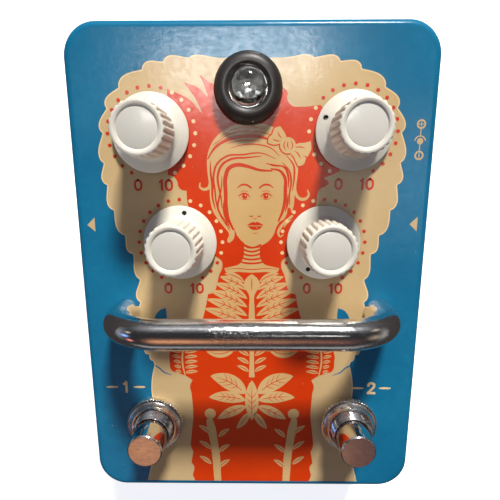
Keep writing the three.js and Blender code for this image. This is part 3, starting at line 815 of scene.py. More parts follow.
def ribbed(r, z, t):
    rib_low, rib_high = FACE + GRIP_LOW, FACE + RIB_END
    if z < rib_low - 0.01 or z > rib_high or r < 6.25:
        return r
    rise = min(1.0, (z - rib_low) / 1.0)
    fall = min(1.0, max(0.0, (rib_high - z) / 0.55))
    u = (t * RIBS / (2 * math.pi)) % 1.0 - 0.5    # 0 at the middle of a groove
    groove = math.exp(-(u / 0.17) ** 2)
    crest = 0.10 * math.cos(2 * math.pi * u)
    return r - rise * fall * (0.42 * groove + crest - 0.06)


def build_knob(knob):
    x, y = KNOB_AT[knob]
    body = knob + "_control"
    # drawn at the middle of its turn, degrees clockwise of +Y
    turn = -math.radians(sum(JOINTS[knob + "_turn"]["range_deg"]) / 2)
    profile = fillet(lift(KNOB_FOOT, FACE), 5)
    rows = 30
    for i in range(rows + 1):
        t = i / rows
        profile.append((6.96 - 0.22 * t, FACE + GRIP_LOW + (GRIP_HIGH - GRIP_LOW) * t))
    profile += fillet(lift(KNOB_TOP, FACE), 5)
    crown_rows = 12
    for i in range(1, crown_rows + 1):
        r = 4.82 * (1 - i / crown_rows)
        profile.append((r, FACE + 17.03 + 0.24 * (1 - (r / 4.86) ** 2)))
    shape = verts, faces = turned(profile, RIBS * 12, radius_of=ribbed)
    face_mats = []                               # 1 is the crown
    for face in faces:
        cx, cy, cz = (sum(verts[i][axis] for i in face) / len(face) for axis in range(3))
        face_mats.append(1 if math.hypot(cx, cy) < 4.95 and cz > FACE + 16.0 else 0)
    ob = make(knob + "_knob_fine", place(shape, (x, y), turn=turn), KNOB, PEARL, body=body,
              slot="knob_plastic", replaces=knob + "_knob", sharp=40, face_mats=face_mats)
    # pointer dimple: drilled into the skirt, with a dark cup in it
    aim = turn + math.pi / 2
    dimple = (x + POINTER_OUT * math.cos(aim), y + POINTER_OUT * math.sin(aim))
    cut(ob, [cylinder(0.66, FACE + 1.75, FACE + 5, dimple, 28)])
    shade(ob, 40)
    lathe(knob + "_pointer", fillet(lift(POINTER_CUP, FACE), 3), 28, POINTER, dimple,
          body=body, slot="chip_black")


for knob in KNOBS:
    build_knob(knob)


# --------------------------------------------------------------------------- lamp

BEZEL_LIP = [                                    # r, z: bore and inner lip
    (5.05, -2.6), (5.05, 2.9), (5.08, 3.12), (5.16, 3.32), (5.30, 3.52), (5.50, 3.70),
    (5.78, 3.87), (6.00, 3.96),
]
JEWEL = [(0, -1.6), (1.5, -1.35), (3.4, -0.35), (4.87, 1.35), (4.94, 1.5), (4.94, 3.1)]
REFLECTOR = [(2.72, -2.52), (3.3, -1.9), (4.1, -0.86), (4.72, 0.35), (4.98, 1.30), (5.02, 1.30),
             (5.02, -2.56), (2.72, -2.56)]
LED_BASE = [(0, -10.6), (2.9, -10.6), (2.9, -9.75), (2.5, -9.7), (2.5, -5.2)]
FACETS = 16


def build_bezel():
    profile = lift(BEZEL_LIP, FACE)
    steps = 16
    for i in range(steps + 1):
        a = math.pi / 2 * (1 - i / steps)
        profile.append((9.15 - 2.95 * (1 - math.cos(a)), FACE + 0.7 + 3.35 * math.sin(a)))
    profile += lift([(9.15, 0.3), (9.05, 0.06), (6.4, 0.06), (5.85, 0.06)], FACE)
    z = FACE - 2.2
    while z > FACE - 9.0:                        # thread
        profile += [(5.85, z), (5.55, z - 0.35)]
        z -= 0.7
    profile += lift([(5.6, -9.55), (2.65, -9.6), (2.65, -2.6)], FACE)
    lathe("lamp_bezel_fine", profile, 96, BEZEL, LAMP_AT, closed=True, slot="bezel_plastic",
          replaces="lamp_bezel", sharp=40)


def faceted(r, z, t):
    """Cut facets below the jewel's girdle, round above."""
    if z > FACE + 1.4:
        return r
    u = (t * FACETS / (2 * math.pi)) % 1.0 - 0.5
    return r * math.cos(math.pi / FACETS) / math.cos(2 * math.pi * u / FACETS)


build_bezel()
lathe("lamp_lens_fine", lift(JEWEL, FACE) + dome(4.94, FACE + 3.2, 2.78, 12), 64, LENS, LAMP_AT,
      radius_of=faceted, slot="lens_clear", replaces="lamp_lens", sharp=14)
lathe("lamp_reflector", lift(REFLECTOR, FACE), 32, MIRROR, LAMP_AT, closed=True, sharp=14)
lathe("lamp_led_fine", lift(LED_BASE, FACE) + dome(2.5, FACE - 5.2, 2.5, 10), 40, LED, LAMP_AT,
      slot="led_clear", replaces="lamp_led")


# ------------------------------------------------------------------ foot switches

BUSHING_R, BUSHING_PITCH = 5.98, 0.8
BUSHING_MOUTH = [(5.12, -7.2), (5.12, 7.9), (5.35, 8.22), (5.62, 8.3), (5.82, 8.05)]
BUSHING_FOOT = [(BUSHING_R, -7.35), (7.4, -7.4), (7.4, -8.35), (6.6, -8.4), (6.6, -8.9),
                (5.12, -8.9)]
CASE_WIDTH, CASE_TOP = 17.5, 8.95                # the top is below the face
CASE_RINGS = [(0.5, -14.0), (0.1, -13.6), (0, -13.2), (0, -0.5), (0.12, -0.15), (0.5, 0)]
KNURLS = 62


def threaded(major, bottom, top, pitch, depth, fade):
    """Radius function of a helical thread; fade(z) eases its depth."""
    def radius(r, z, t):
        if abs(r - major) > 0.02 or z < bottom or z > top + 0.01:
            return r
        u = (z / pitch - t / (2 * math.pi)) % 1.0
        return r - depth * fade(z) * abs(u * 2 - 1) ** 0.8
    return radius


def solder_tags(name, boxes, replaces, edge):
    ob = make(name, join(boxes), NICKEL, slot="pot_metal", replaces=replaces, sharp=None)
    bevel(ob, edge, 2)


def build_bushing(side, node):
    bottom, top = FACE + 3.6, FACE + 7.95

    def fade(z):
        return min(1.0, (top - z) / 0.35) * min(1.0, (z - bottom) / 0.4)

    profile = lift(BUSHING_MOUTH, FACE) + column(BUSHING_R, top, bottom, 64)
    profile += lift(BUSHING_FOOT, FACE)
    lathe(side + "_switch_bushing", profile, 96, CHROME, SWITCH_AT[side], closed=True,
          radius_of=threaded(BUSHING_R, bottom, top, BUSHING_PITCH, 0.42, fade),
          slot="switch_chrome", replaces=node, sharp=50)


def build_switch_case(side, node):
    """Moulded case with nine tags under it."""
    x, y = SWITCH_AT[side]
    top = FACE - CASE_TOP
    rings = []
    for inset, z in CASE_RINGS:
        width = CASE_WIDTH - 2 * inset
        rings.append((rounded_rect(width, width, 1.2 - inset * 0.6, 5, 0.1), top + z))
    make(side + "_switch_case", place(stack(rings), (x, y)), CASE_BLUE, slot="switch_case",
         replaces=node)
    boxes = [box((x + dx - 1.1, x + dx + 1.1), (y + dy - 0.4, y + dy + 0.4),
                 (top - 18.4, top - 14.02)) for dx in (-5.2, 0, 5.2) for dy in (-4.8, 0, 4.8)]
    solder_tags(side + "_switch_tags", boxes, node, 0.15)


def build_plunger(side):
    node = side + "_switch_plunger"
    z0, z1 = low(node)[2], high(node)[2]
    profile = fillet([(0, z0), (4.9, z0, 0.2), (5.0, z0 + 0.3, 0.1), (5.0, z1 - 0.45, 0.12),
                      (4.62, z1, 0.14), (0, z1 - 0.03)], 4)
    lathe(side + "_plunger_fine", profile, 96, CAP, SWITCH_AT[side], body=side + "_button",
          slot="switch_chrome", replaces=node, sharp=40)


def knurled(r, z, t):
    if r < 8.58:
        return r
    edge = min(1.0, (z - FACE - 0.06) / 0.22, max(0.0, FACE + 2.2 - z) / 0.24)
    u = abs(((t * KNURLS / (2 * math.pi)) % 1.0) * 2 - 1)
    return r - 0.30 * (1 - edge * u) * (1.0 if r > 8.65 else 0.5)


def build_dress_nut(side):
    """Straight-knurled rim, hollow-cone shoulder, plain collar."""
    profile = lift([(6.12, 0.06), (8.55, 0.06)], FACE)
    profile += [(8.8, FACE + 0.12 + 1.85 * i / 14) for i in range(15)]
    profile += lift([(8.62, 2.13), (8.35, 2.16)], FACE)
    for i in range(1, 11):
        t = i / 10
        profile.append((8.35 - 1.30 * t, FACE + 2.16 + 1.45 * t ** 1.7))
    collar = [(7.02, 3.66), (6.95, 4.1, 0.22), (6.45, 4.1, 0.10), (6.12, 3.85)]
    profile += fillet(lift(collar, FACE), 4)
    lathe(side + "_dress_nut_fine", profile, KNURLS * 6, NUT, SWITCH_AT[side], closed=True,
          radius_of=knurled, slot="switch_chrome", replaces=side + "_switch_dress_nut", sharp=44)


for side in SWITCH_AT:
    build_bushing(side, side + "_switch_body")
    build_switch_case(side, side + "_switch_body")
    build_plunger(side)
    build_dress_nut(side)


# ------------------------------------------------------------------- side sockets
# Profiles run outwards from the side wall: z is the distance out of it.

NOSE_R, NOSE_PITCH = 4.74, 0.79
NOSE_LOW, NOSE_HIGH = -2.4, 4.1
NOSE_MOUTH = [(3.3, -20.5), (3.3, 3.85), (3.62, 4.25), (4.1, 4.4), (4.5, 4.2)]
NOSE_FOOT = [(NOSE_R, -2.55), (6.0, -2.58), (6.0, -6.0), (5.2, -6.1), (5.2, -20.5)]
BARREL = [
    (2.85, -10.5), (2.85, 1.6, 0.1), (3.15, 2.0, 0.15), (6.8, 2.0, 0.4), (7.3, 1.5, 0.3),
    (7.3, 0.06, 0.1), (5.9, 0.06, 0.05), (5.9, -13.4, 0.2), (0, -13.5),
]
PIN = [(0, -10.45), (1.05, -10.45), (1.05, 0.35, 0.25), (0.62, 0.6, 0.2), (0.6, 0.4), (0, 0.1)]


def hex_nut(node, radii, start, end, mat, at, facing, slot):
    """Hexagonal nut, its corners turned off; radii run from the bore to the side."""
    flat = radii[3]

    def hexagon(r, z, t):
        if r < flat - 0.5:
            return r
        u = (t + math.pi / 6) % (math.pi / 3) - math.pi / 6
        edge = min(z - start, end - z)
        return min(flat / math.cos(u), flat * 1.03 + max(0.0, edge) * 1.9)

    face = radii[1:4]
    profile = [(radii[0], start + 0.2)] + [(r, start) for r in face]
    profile += column(radii[4], start, end, 12)
    profile += [(r, end) for r in face[::-1]] + [(radii[0], end - 0.2)]
    lathe(node + "_fine", profile, 144, mat, at, closed=True, facing=facing, radius_of=hexagon,
          slot=slot, replaces=node, sharp=25)


def jack_tags(node, x_span, at, pitch, half_width, half_thick, edge):
    boxes = [box(x_span, (at[1] + dy - half_width, at[1] + dy + half_width),
                 (at[2] - half_thick, at[2] + half_thick)) for dy in (-pitch, 0, pitch)]
    solder_tags(node + "_tags", boxes, node, edge)


def build_signal(node, at, facing):
    def fade(z):
        return min(1.0, (NOSE_HIGH - z) / 0.5 + 0.15)

    # nose with thread, plug bore down the middle
    lathe(node + "_nose", NOSE_MOUTH + column(NOSE_R, NOSE_HIGH, NOSE_LOW, 72) + NOSE_FOOT,
          72, SOCKET, at, closed=True, facing=facing,
          radius_of=threaded(NOSE_R, NOSE_LOW, NOSE_HIGH, NOSE_PITCH, 0.38, fade),
          slot="socket_plastic", replaces=node, sharp=50)
    # moulded case round the inner end of the bore
    x, y, z = at
    x_in, x_out = x - facing * 22.5, x - facing * (WALL + 0.1)
    case = make(node + "_case", box(sorted((x_in, x_out)), (y - 8, y + 8), (z - 8, z + 8)),
                SOCKET, slot="socket_plastic", replaces=node)
    bore = sorted((x_in + facing * 1.6, x_out + facing * 3))
    cut(case, [cylinder(6.1, *bore, (0, y, z), 40, facing=1)])
    bevel(case, 0.5, 3)
    apply_modifiers(case)
    finish(case, 30)
    jack_tags(node, sorted((x_in - facing * 3.3, x_in - facing * 0.05)), at, pitch=5,
              half_width=1.0, half_thick=0.4, edge=0.15)
    washer = [(4.95, 0.06, 0.08), (7.6, 0.06, 0.15), (7.6, 0.95, 0.2), (4.95, 0.95, 0.15)]
    lathe(node + "_washer_fine", fillet(washer, 3, closed=True), 72, CHROME, at, closed=True,
          facing=facing, slot="switch_chrome", replaces=node + "_washer")
    hex_nut(node + "_nut", (4.87, 5.1, 6.0, 6.35, 6.4), 1.15, 3.45, CHROME, at, facing,
            "switch_chrome")


def build_power(node, at):
    lathe(node + "_barrel", [(0, -10.5)] + fillet(BARREL, 4), 72, SOCKET, at, facing=1,
          slot="socket_plastic", replaces=node, sharp=40)
    lathe(node + "_pin", fillet(PIN, 4), 36, NICKEL, at, facing=1, slot="pot_metal",
          replaces=node)
    jack_tags(node, (at[0] - 17, at[0] - 13.55), at, pitch=3.4, half_width=0.9,
              half_thick=0.35, edge=0.12)
    nut_end = -WALL - 0.05
    hex_nut(node + "_nut", (6.02, 6.2, 7.2, 7.5, 7.52), nut_end - 2.5, nut_end, SOCKET, at, 1,
            "socket_plastic")


build_signal("input_jack", INPUT_AT, 1)
build_signal("output_jack", OUTPUT_AT, -1)
build_power("power_jack", POWER_AT)


# ---------------------------------------------------- inner parts kept from the CAD

inner = {"lamp_nut": ZINC, "circuit_board": BOARD, "chip_1": CHIP, "chip_2": CHIP}
for knob in KNOBS:
    inner.update({knob + "_pot_nut": ZINC, knob + "_knob_insert": BRASS,
                  knob + "_pot_shaft": ZINC, knob + "_pot": NICKEL})
for side in SWITCH_AT:
    inner.update({side + "_switch_inner_nut": ZINC, side + "_switch_cable": CABLE,
                  "guard_bar_screw_" + side: ZINC, "guard_bar_washer_" + side: ZINC})
for node, mat in inner.items():
    ob = frame["nodes"][node]
    ob.data.materials.clear()
    ob.data.materials.append(mat)
    bevel(ob, 0.12, 2, 40)


# -------------------------------------------------------------------- ink helpers
# Printed art: thin ink films on the top face, in face millimetres.
# A third value in an outline point marks a sharp corner.

INK_LO = 0.002                                   # underside of every film, above the face


def spline(points, closed=False, steps=7):
    """Smooth path through the points."""
    count = len(points)
    p = [np.array(q[:2], float) for q in points]
    corner = [len(q) > 2 for q in points]
    out = []

    def heading(i):
        a, b, c = p[(i - 1) % count], p[i % count], p[(i + 1) % count]
        if not closed and i % count == 0:
            d = c - b
        elif not closed and i % count == count - 1:
            d = b - a
        else:
            before, after = np.linalg.norm(b - a) + 1e-9, np.linalg.norm(c - b) + 1e-9
            d = (b - a) / before * after + (c - b) / after * before
        return d / (np.linalg.norm(d) + 1e-9)

    for i in range(count if closed else count - 1):
        a, b = p[i], p[(i + 1) % count]
        chord = np.linalg.norm(b - a)
        leave = (b - a) if corner[i] else heading(i) * chord
        arrive = (b - a) if corner[(i + 1) % count] else heading((i + 1) % count) * chord
        for k in range(steps):
            t = k / steps
            out.append(tuple((2 * t**3 - 3 * t**2 + 1) * a + (t**3 - 2 * t**2 + t) * leave
                             + (-2 * t**3 + 3 * t**2) * b + (t**3 - t**2) * arrive))
    if not closed:
        out.append(tuple(p[-1]))
    return out


def circle(x, y, r, count, ry=None):
    angles = [2 * math.pi * k / count for k in range(count)]
    return [(x + r * math.cos(a), y + (ry or r) * math.sin(a)) for a in angles]


def on_side(points, side):
    """The points as they are for side 1, mirrored in x for side -1."""
    return [(side * q[0], *q[1:]) for q in points]


class Ink:
    """One colour of ink at one height, gathered into a single piece."""

    def __init__(self, name, mat, height):
        self.name, self.mat, self.height = name, mat, height
        self.verts, self.faces, self.count = [], [], 0

    def top(self):
        """Height for the next film; neighbours differ, so overlaps do not flicker."""
        self.count += 1
        return FACE + self.height + (self.count % 12) * 0.0005

    def fill(self, *loops, raise_by=0.0):
        """Area inside the first loop, less the others."""
        z = self.top() + raise_by
        flat = [q for loop in loops for q in loop]
        triangles = tessellate_polygon([[Vector((q[0], q[1], 0)) for q in loop] for loop in loops])
        under, base = len(flat), len(self.verts)
        self.verts += [(x, y, z) for x, y in flat] + [(x, y, FACE + INK_LO) for x, y in flat]
        for a, b, c in triangles:
            (ax, ay), (bx, by), (cx, cy) = flat[a], flat[b], flat[c]
            if (bx - ax) * (cy - ay) - (by - ay) * (cx - ax) < 0:
                b, c = c, b
            self.faces.append((base + a, base + b, base + c))
            self.faces.append((base + under + c, base + under + b, base + under + a))
        start = base
        for loop in loops:
            for i in range(len(loop)):
                a, b = start + i, start + (i + 1) % len(loop)
                self.faces.append((b, a, under + a, under + b))
            start += len(loop)

    def blot(self, points, steps=7):
        """Area inside a smooth outline."""
        self.fill(spline(points, closed=True, steps=steps))

    def dot(self, x, y, r, count, ry=None):
        self.fill(circle(x, y, r, count, ry))

    def strip(self, pairs, ends=True, turned_over=False):
        """Band between pairs of points."""
        z, base, faces = self.top(), len(self.verts), []
        for pair in pairs:
            self.verts += [(q[0], q[1], level) for level in (z, FACE + INK_LO) for q in pair]
        last = base + 4 * (len(pairs) - 1)
        for a in range(base, last, 4):
            b = a + 4
            faces += [(a, a + 1, b + 1, b), (a + 2, b + 2, b + 3, a + 3),
                      (a, b, b + 2, a + 2), (a + 1, a + 3, b + 3, b + 1)]
        if ends:
            faces += [(base, base + 2, base + 3, base + 1), (last, last + 1, last + 3, last + 2)]
        self.faces += [(f[0], *f[:0:-1]) for f in faces] if turned_over else faces

    def line(self, points, width, taper=(1.0, 1.0), smooth=True, steps=7, closed=False):
        """Pen stroke with round ends; taper scales the width at start and end."""
        if smooth and len(points) > 2:
            path = spline(points, steps=steps, closed=closed)
        else:
            path = [tuple(q[:2]) for q in points]
        if closed:
            path = path + [path[0]]
        path = np.array(path)
        along = np.gradient(path, axis=0)
        if closed:
            along[0] = along[-1] = path[1] - path[-2]
        along /= (np.linalg.norm(along, axis=1)[:, None] + 1e-9)
        s = np.concatenate([[0], np.cumsum(np.linalg.norm(np.diff(path, axis=0), axis=1))])
        s /= s[-1]
        rows = []                                # point, direction, half width
        for point, direction, part in zip(path, along, s):
            thin = taper[0] if part < 0.5 else taper[1]
            w = width * (thin + (1 - thin) * math.sin(math.pi * part))
            rows.append((point, direction, w / 2))
        if not closed:
            head, tail = [], []
            for degrees in (75, 50, 25):
                a = math.radians(degrees)
                q, t, h = rows[0]
                head.append((q - t * h * math.sin(a), t, max(h * math.cos(a), 0.004)))
                q, t, h = rows[-1]
                tail.append((q + t * h * math.sin(a), t, max(h * math.cos(a), 0.004)))
            rows = head + rows + tail[::-1]
        pairs = []
        for q, t, h in rows:
            nx, ny = -t[1] * h, t[0] * h
            pairs.append(((q[0] + nx, q[1] + ny), (q[0] - nx, q[1] - ny)))
        self.strip(pairs, ends=not closed)

    def strokes(self, table):
        """Lines from rows of width, taper at start, taper at end, points."""
        for width, start, end, points in table:
            self.line(points, width, taper=(start, end))

    def done(self):
        ob = new_object(self.name, (self.verts, self.faces), self.mat)
        shade(ob, None)
        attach(ob, "chassis")


# --------------------------------------------- wings: a scalloped edge on each side

WING = [
    (-8.8, 59.7), (-14, 59.8), (-20, 59.4), (-28, 57.4), (-34.4, 53.6), (-38.9, 47.8),
    (-40.7, 41), (-41.0, 33.5), (-40.2, 25.5), (-38.6, 18.5), (-36.1, 12.4), (-34.1, 6.8),
    (-32.9, 0.9), (-33.1, -5.5), (-33.3, -12.8),
]
BELOW = [
    (-32.9, -13.0, 1), (-32.8, -18), (-33.0, -21.4), (-32.5, -23.0, 1), (-31.4, -23.2, 1),
    (-31.0, -25.0), (-30.2, -25.4, 1), (-29.9, -26.6, 1), (-30.8, -30.2), (-31.3, -34.5),
    (-31.1, -38.6, 1), (-27.6, -39.8), (-24.6, -42.4), (-23.6, -46.0), (-24.6, -49.6),
    (-27.6, -52.2), (-31.2, -53.4, 1), (-32.2, -59), (-34.2, -67.1, 1),
]


def feather_edge(points, lobes, bulge):
    """Rounded feather tips along a smooth curve; each ends in a small notch."""
    base = np.array(spline(points, steps=16))
    s = np.concatenate([[0], np.cumsum(np.linalg.norm(np.diff(base, axis=0), axis=1))])
    marks = np.cumsum([0] + [1 + 0.16 * math.sin(2.3 * i + 0.7) for i in range(lobes)])
    marks = marks / marks[-1] * s[-1]

    def at(d):
        return np.array([np.interp(d, s, base[:, 0]), np.interp(d, s, base[:, 1])])

    out = []
    for a, b in zip(marks, marks[1:]):
        for k in range(12):
            u = k / 12
            d = a + (b - a) * u
            x, y = at(d)
            t = at(d + 0.2) - at(d - 0.2)
            t = t / (np.linalg.norm(t) + 1e-9)
            grown = 0.25 + 0.75 * min(1.0, d / 14.0)
            off = bulge * grown * math.sin(math.pi * u ** 1.7) ** 0.7
            out.append((float(x + t[1] * off), float(y - t[0] * off)))
    out.append((float(base[-1][0]), float(base[-1][1])))
    return out


left_edge = feather_edge(WING, 14, 1.25) + spline(BELOW, steps=6)
right_edge = on_side(left_edge, -1)
lamp_hole = circle(*LAMP_AT, 6.2, 32)
cream = Ink("print_wings", CREAM, 0.010)
cream.fill(left_edge + right_edge[::-1], lamp_hole,
           *[circle(*at, 3.8, 32) for at in KNOB_AT.values()])
# arrows beside the sockets, and the polarity sign of the power socket
cream.fill([(-47.0, 16.1), (-44.8, 14.2), (-44.8, 18.2)])
cream.fill([(44.7, 16.3), (46.9, 14.3), (46.9, 18.4)])
SIGN_X = 45.8
for y in (43.1, 35.0):
    cream.line(circle(SIGN_X, y, 1.02, 20), 0.46, smooth=False, closed=True)
cream.line([(45.25, 43.1), (46.35, 43.1)], 0.22)
cream.line([(SIGN_X, 42.55), (SIGN_X, 43.65)], 0.22)
cream.line([(SIGN_X, 34.5), (SIGN_X, 35.5)], 0.26)
cream.dot(SIGN_X, 38.7, 0.85, 20)
angles = [math.radians(a) for a in range(15, 166, 15)]
cream.line([(SIGN_X + 1.45 * math.cos(a), 38.6 + 1.45 * math.sin(a)) for a in angles], 0.32,
           smooth=False)
cream.line([(SIGN_X, 41.9), (SIGN_X, 40.2)], 0.26)
cream.line([(SIGN_X, 37.8), (SIGN_X, 36.1)], 0.26)
cream.done()

rim = Ink("print_wing_rim", CREAM_LIGHT, 0.018)
for edge, side in ((left_edge, 1), (right_edge, -1)):
    path = np.array(edge)
    along = np.gradient(path, axis=0)
    along /= np.linalg.norm(along, axis=1)[:, None]
    inward = np.stack([-along[:, 1], along[:, 0]], 1) * side
    pairs = []
    for point, normal in zip(path[:-1], inward):
        if point[1] < -66.5:
            break
        pairs.append((point + normal * 0.03, point + normal * 0.34))
    rim.strip(pairs, turned_over=True)
rim.done()

# slits of bare paint beside the guard bar
SLIT = [(-29.4, -12.6, 1), (-28.6, -10.4), (-27.2, -9.0), (-25.6, -8.4, 1), (-25.4, -10.4),
        (-25.5, -12.6, 1)]
bare = Ink("print_slits", TEAL, 0.017)
for side in (1, -1):
    bare.blot(on_side(SLIT, side))
    bare.line(on_side([(-30.4, -26.5), (-28.8, -27.4), (-27.2, -28.9), (-24.9, -29.9)], side),
              0.42, taper=(1.2, 0.4))
bare.done()


# ---------------------------------------------------------------------- red field

LEFT_RED = [
    (-0.9, 59.4), (-6.0, 58.0), (-8.0, 54.0), (-9.4, 53.4), (-13.9, 55.6, 1), (-12.6, 53.0),
    (-11.6, 49.9, 1), (-14.2, 52.4), (-18.1, 53.8, 1), (-15.6, 50.6), (-13.1, 45.7, 1),
    (-16.6, 49.4), (-22.6, 52.2, 1), (-22.9, 46), (-22.4, 40), (-22.9, 34), (-23.4, 29.9, 1),
    (-21.6, 29.4), (-20.8, 28.2), (-20.4, 26.6), (-19.4, 25.8), (-18.2, 25.6, 1), (-18.2, 23.0),
    (-16.6, 18), (-14.4, 11), (-11.6, 7.6, 1), (-10.2, 6.9), (-8.7, 5.6), (-8.6, 3.8),
    (-9.6, 1.4), (-10.2, -1.2), (-11.3, -3.7), (-12.9, -4.2, 1), (-13.6, -7.6), (-14.9, -12.2),
    (-18, -17), (-23, -20.5), (-25.0, -22.6), (-25.2, -25.6), (-24.7, -28.4), (-22.4, -29.4),
    (-20.0, -30.4), (-18.4, -31.6, 1), (-19.2, -33.6), (-18.8, -36.0, 1), (-18.5, -44.0),
    (-19.2, -50.0), (-19.4, -55.2), (-18.9, -56.4, 1), (-19.6, -60.4, 1), (-18.8, -61.8),
    (-19.3, -65.0, 1), (-18.6, -67.15, 1),
]
RIGHT_RED = [                                    # below its end the right mirrors the left
    (-0.9, 59.4), (5.2, 57.6), (7.0, 53.6), (9.6, 51.0), (9.5, 49.6), (10.6, 48.0),
    (13.5, 47.6), (18.4, 48.0, 1), (22.2, 44), (22.9, 38), (23.8, 33), (24.4, 30.9, 1),
    (22.6, 30.0), (20.0, 29.0, 1), (21.4, 27.6), (20.6, 26.8), (19.0, 26.0), (18.4, 24.4),
    (18.2, 22.2), (16.4, 16), (14.2, 10.6), (11.6, 7.6, 1),
]
shared = spline([q for q in LEFT_RED if q[1] < 7.7], steps=6)
right_red = spline(RIGHT_RED, steps=6) + on_side(shared, -1)[1:]
red_loop = spline(LEFT_RED, steps=6)[1:] + right_red[::-1]
field = Ink("print_red", RED, 0.026)
field.fill(red_loop, lamp_hole)
field.done()


def in_red(x, y):
    """Whether a point lies in the red field, by counting the edges to its right."""
    a = np.array(red_loop)
    b = np.roll(a, -1, axis=0)
    spans = (a[:, 1] > y) != (b[:, 1] > y)
    with np.errstate(divide="ignore", invalid="ignore"):
        cross = a[:, 0] + (y - a[:, 1]) * (b[:, 0] - a[:, 0]) / (b[:, 1] - a[:, 1])
    return int(np.sum(spans & (x < cross))) % 2 == 1


# ------------------------------------------- head, with a ribbon bow on the crown

figure = Ink("print_figure", FIGURE, 0.034)
ink = Ink("print_lines", LINE_RED, 0.043)

# lower face: half an ellipse, its chin set by equal thirds (brow, nose, chin)
MIDDLE, EYE_Y, EYE_WIDTH = 1.0, 24.1, 2.9
BROW_Y, NOSE_Y, JAW_Y = 26.8, 18.4, 17.0
CHIN_Y = NOSE_Y - (BROW_Y - NOSE_Y)
JAW = [(MIDDLE + 6.2 * math.cos(math.radians(t)),
        JAW_Y - (JAW_Y - CHIN_Y) * math.sin(math.radians(t))) for t in (12, 35, 60, 90, 120, 145)]
HAIR = [
    (-0.6, 43.5), (4.6, 42.9), (8.9, 40.8), (11.6, 37.2), (12.8, 32.8), (12.6, 28.6),
    (12.0, 24.8), (11.9, 21.8), (11.3, 19.4, 1), (10.5, 21.0), (9.9, 19.2), (9.0, 17.6),
    (7.9, 17.0, 1), *JAW, (-5.0, 15.2, 1), (-4.9, 13.2), (-5.4, 11.8), (-6.9, 11.2),
    (-7.0, 12.0, 1), (-6.5, 13.2), (-7.8, 15.4), (-9.4, 17.4), (-10.8, 19.6), (-11.7, 23.2),
    (-11.8, 26.6), (-12.3, 31.0), (-12.2, 35.0), (-10.5, 39.0), (-6.6, 42.2),
]
CURLS = [                                        # width, taper at start and end, points
    (0.85, 1.0, 0.35, [(-11.6, 31.0), (-11.5, 28.0), (-12.1, 26.4), (-13.4, 26.0),
                       (-14.5, 26.7), (-14.4, 27.8)]),
    (0.85, 1.0, 0.35, [(12.0, 28.0), (12.2, 25.2), (13.2, 23.6), (14.9, 23.3), (16.0, 24.4),
                       (15.6, 25.8)]),
    (0.75, 0.9, 0.35, [(11.4, 18.6), (9.6, 17.0), (8.2, 15.4), (7.6, 13.8), (8.2, 12.8),
                       (9.0, 13.4)]),
    (0.5, 0.6, 0.4, [(11.0, 17.4), (9.9, 16.6), (9.2, 15.4)]),
]
HAIR_LINES = [                                   # inner edge of the hair, then crown bands
    (1.15, 0.5, 0.35, [(-5.3, 14.9), (-6.6, 17.8), (-7.2, 21.4), (-7.3, 25.4), (-7.3, 29.2),
                       (-6.3, 31.7), (-4.1, 32.6), (-1.2, 32.2), (2.2, 31.2), (5.6, 31.0)]),
    (1.0, 0.4, 0.5, [(5.4, 31.5), (7.8, 31.0), (9.2, 29.2), (9.4, 26.0), (9.3, 22.6),
                     (8.6, 19.6), (7.6, 17.3)]),
    (0.95, 0.35, 0.5, [(-12.1, 34.2), (-10.1, 37.1), (-6.4, 39.3), (-2.0, 40.1), (2.6, 39.9),
                       (5.8, 38.8)]),
    (0.30, 0.4, 0.5, [(-10.4, 37.9), (-6.6, 40.4), (-2.0, 41.4), (2.4, 41.2), (6.2, 40.2)]),
    (0.26, 0.4, 0.4, [(-8.6, 39.9), (-5.2, 41.8), (-1.2, 42.5), (3.4, 42.1)]),
    (0.34, 0.3, 0.4, [(-5.8, 37.0), (-2.2, 37.9), (2.0, 37.9), (5.6, 36.8), (7.6, 34.9)]),
    (0.24, 0.3, 0.3, [(-6.8, 38.2), (-2.4, 39.0), (2.4, 38.8)]),
]
STRANDS = [
    [(2.6, 34.9), (-1.6, 34.5), (-5.4, 34.2), (-8.2, 32.6), (-9.4, 29.8), (-9.2, 26.6),
     (-8.6, 23.6), (-8.4, 20.8)],
    [(6.6, 34.2), (2.6, 35.7), (-2.4, 35.3), (-6.8, 34.9), (-9.6, 32.8), (-10.6, 29.6),
     (-10.3, 25.8), (-9.9, 22.0), (-8.9, 18.8), (-7.1, 15.8)],
    [(-11.4, 33.6), (-11.4, 30.6), (-11.0, 27.4), (-11.0, 23.8), (-10.3, 20.6)],
    [(-8.3, 29.6), (-8.5, 26.4), (-9.2, 23.4), (-9.6, 21.2), (-8.8, 19.0), (-7.8, 17.6),
     (-6.4, 14.6)],
    [(-7.7, 23.6), (-7.9, 20.6), (-7.2, 17.6), (-6.2, 15.2)],
    [(8.4, 33.2), (10.4, 31.0), (11.0, 28.0), (10.6, 24.8), (10.7, 21.8)],
    [(6.8, 32.6), (9.2, 31.8), (10.2, 29.4), (10.2, 26.4)],
    [(9.6, 35.0), (11.6, 32.4), (11.8, 29.2), (11.4, 25.6)],
    [(10.2, 24.6), (10.0, 21.8), (9.4, 19.8)],
    [(4.0, 33.0), (6.4, 32.4), (8.0, 32.2)],
]
EYE_LINES = [                                    # from the eye's middle: brow, lids
    (0.52, 0.85, 0.25, [(-1.75, 2.3), (-0.7, 3.05), (0.7, 3.15), (2.15, 2.25)]),
    (0.40, 0.35, 0.6, [(-1.5, -0.25), (-0.75, 0.55), (0.15, 0.82), (1.05, 0.52), (1.75, 0.05)]),
    (0.16, 0.3, 0.3, [(-1.2, 1.15), (0.1, 1.5), (1.4, 1.05)]),
    (0.17, 0.3, 0.5, [(-1.25, -0.48), (-0.2, -0.86), (0.9, -0.66), (1.55, -0.18)]),
]
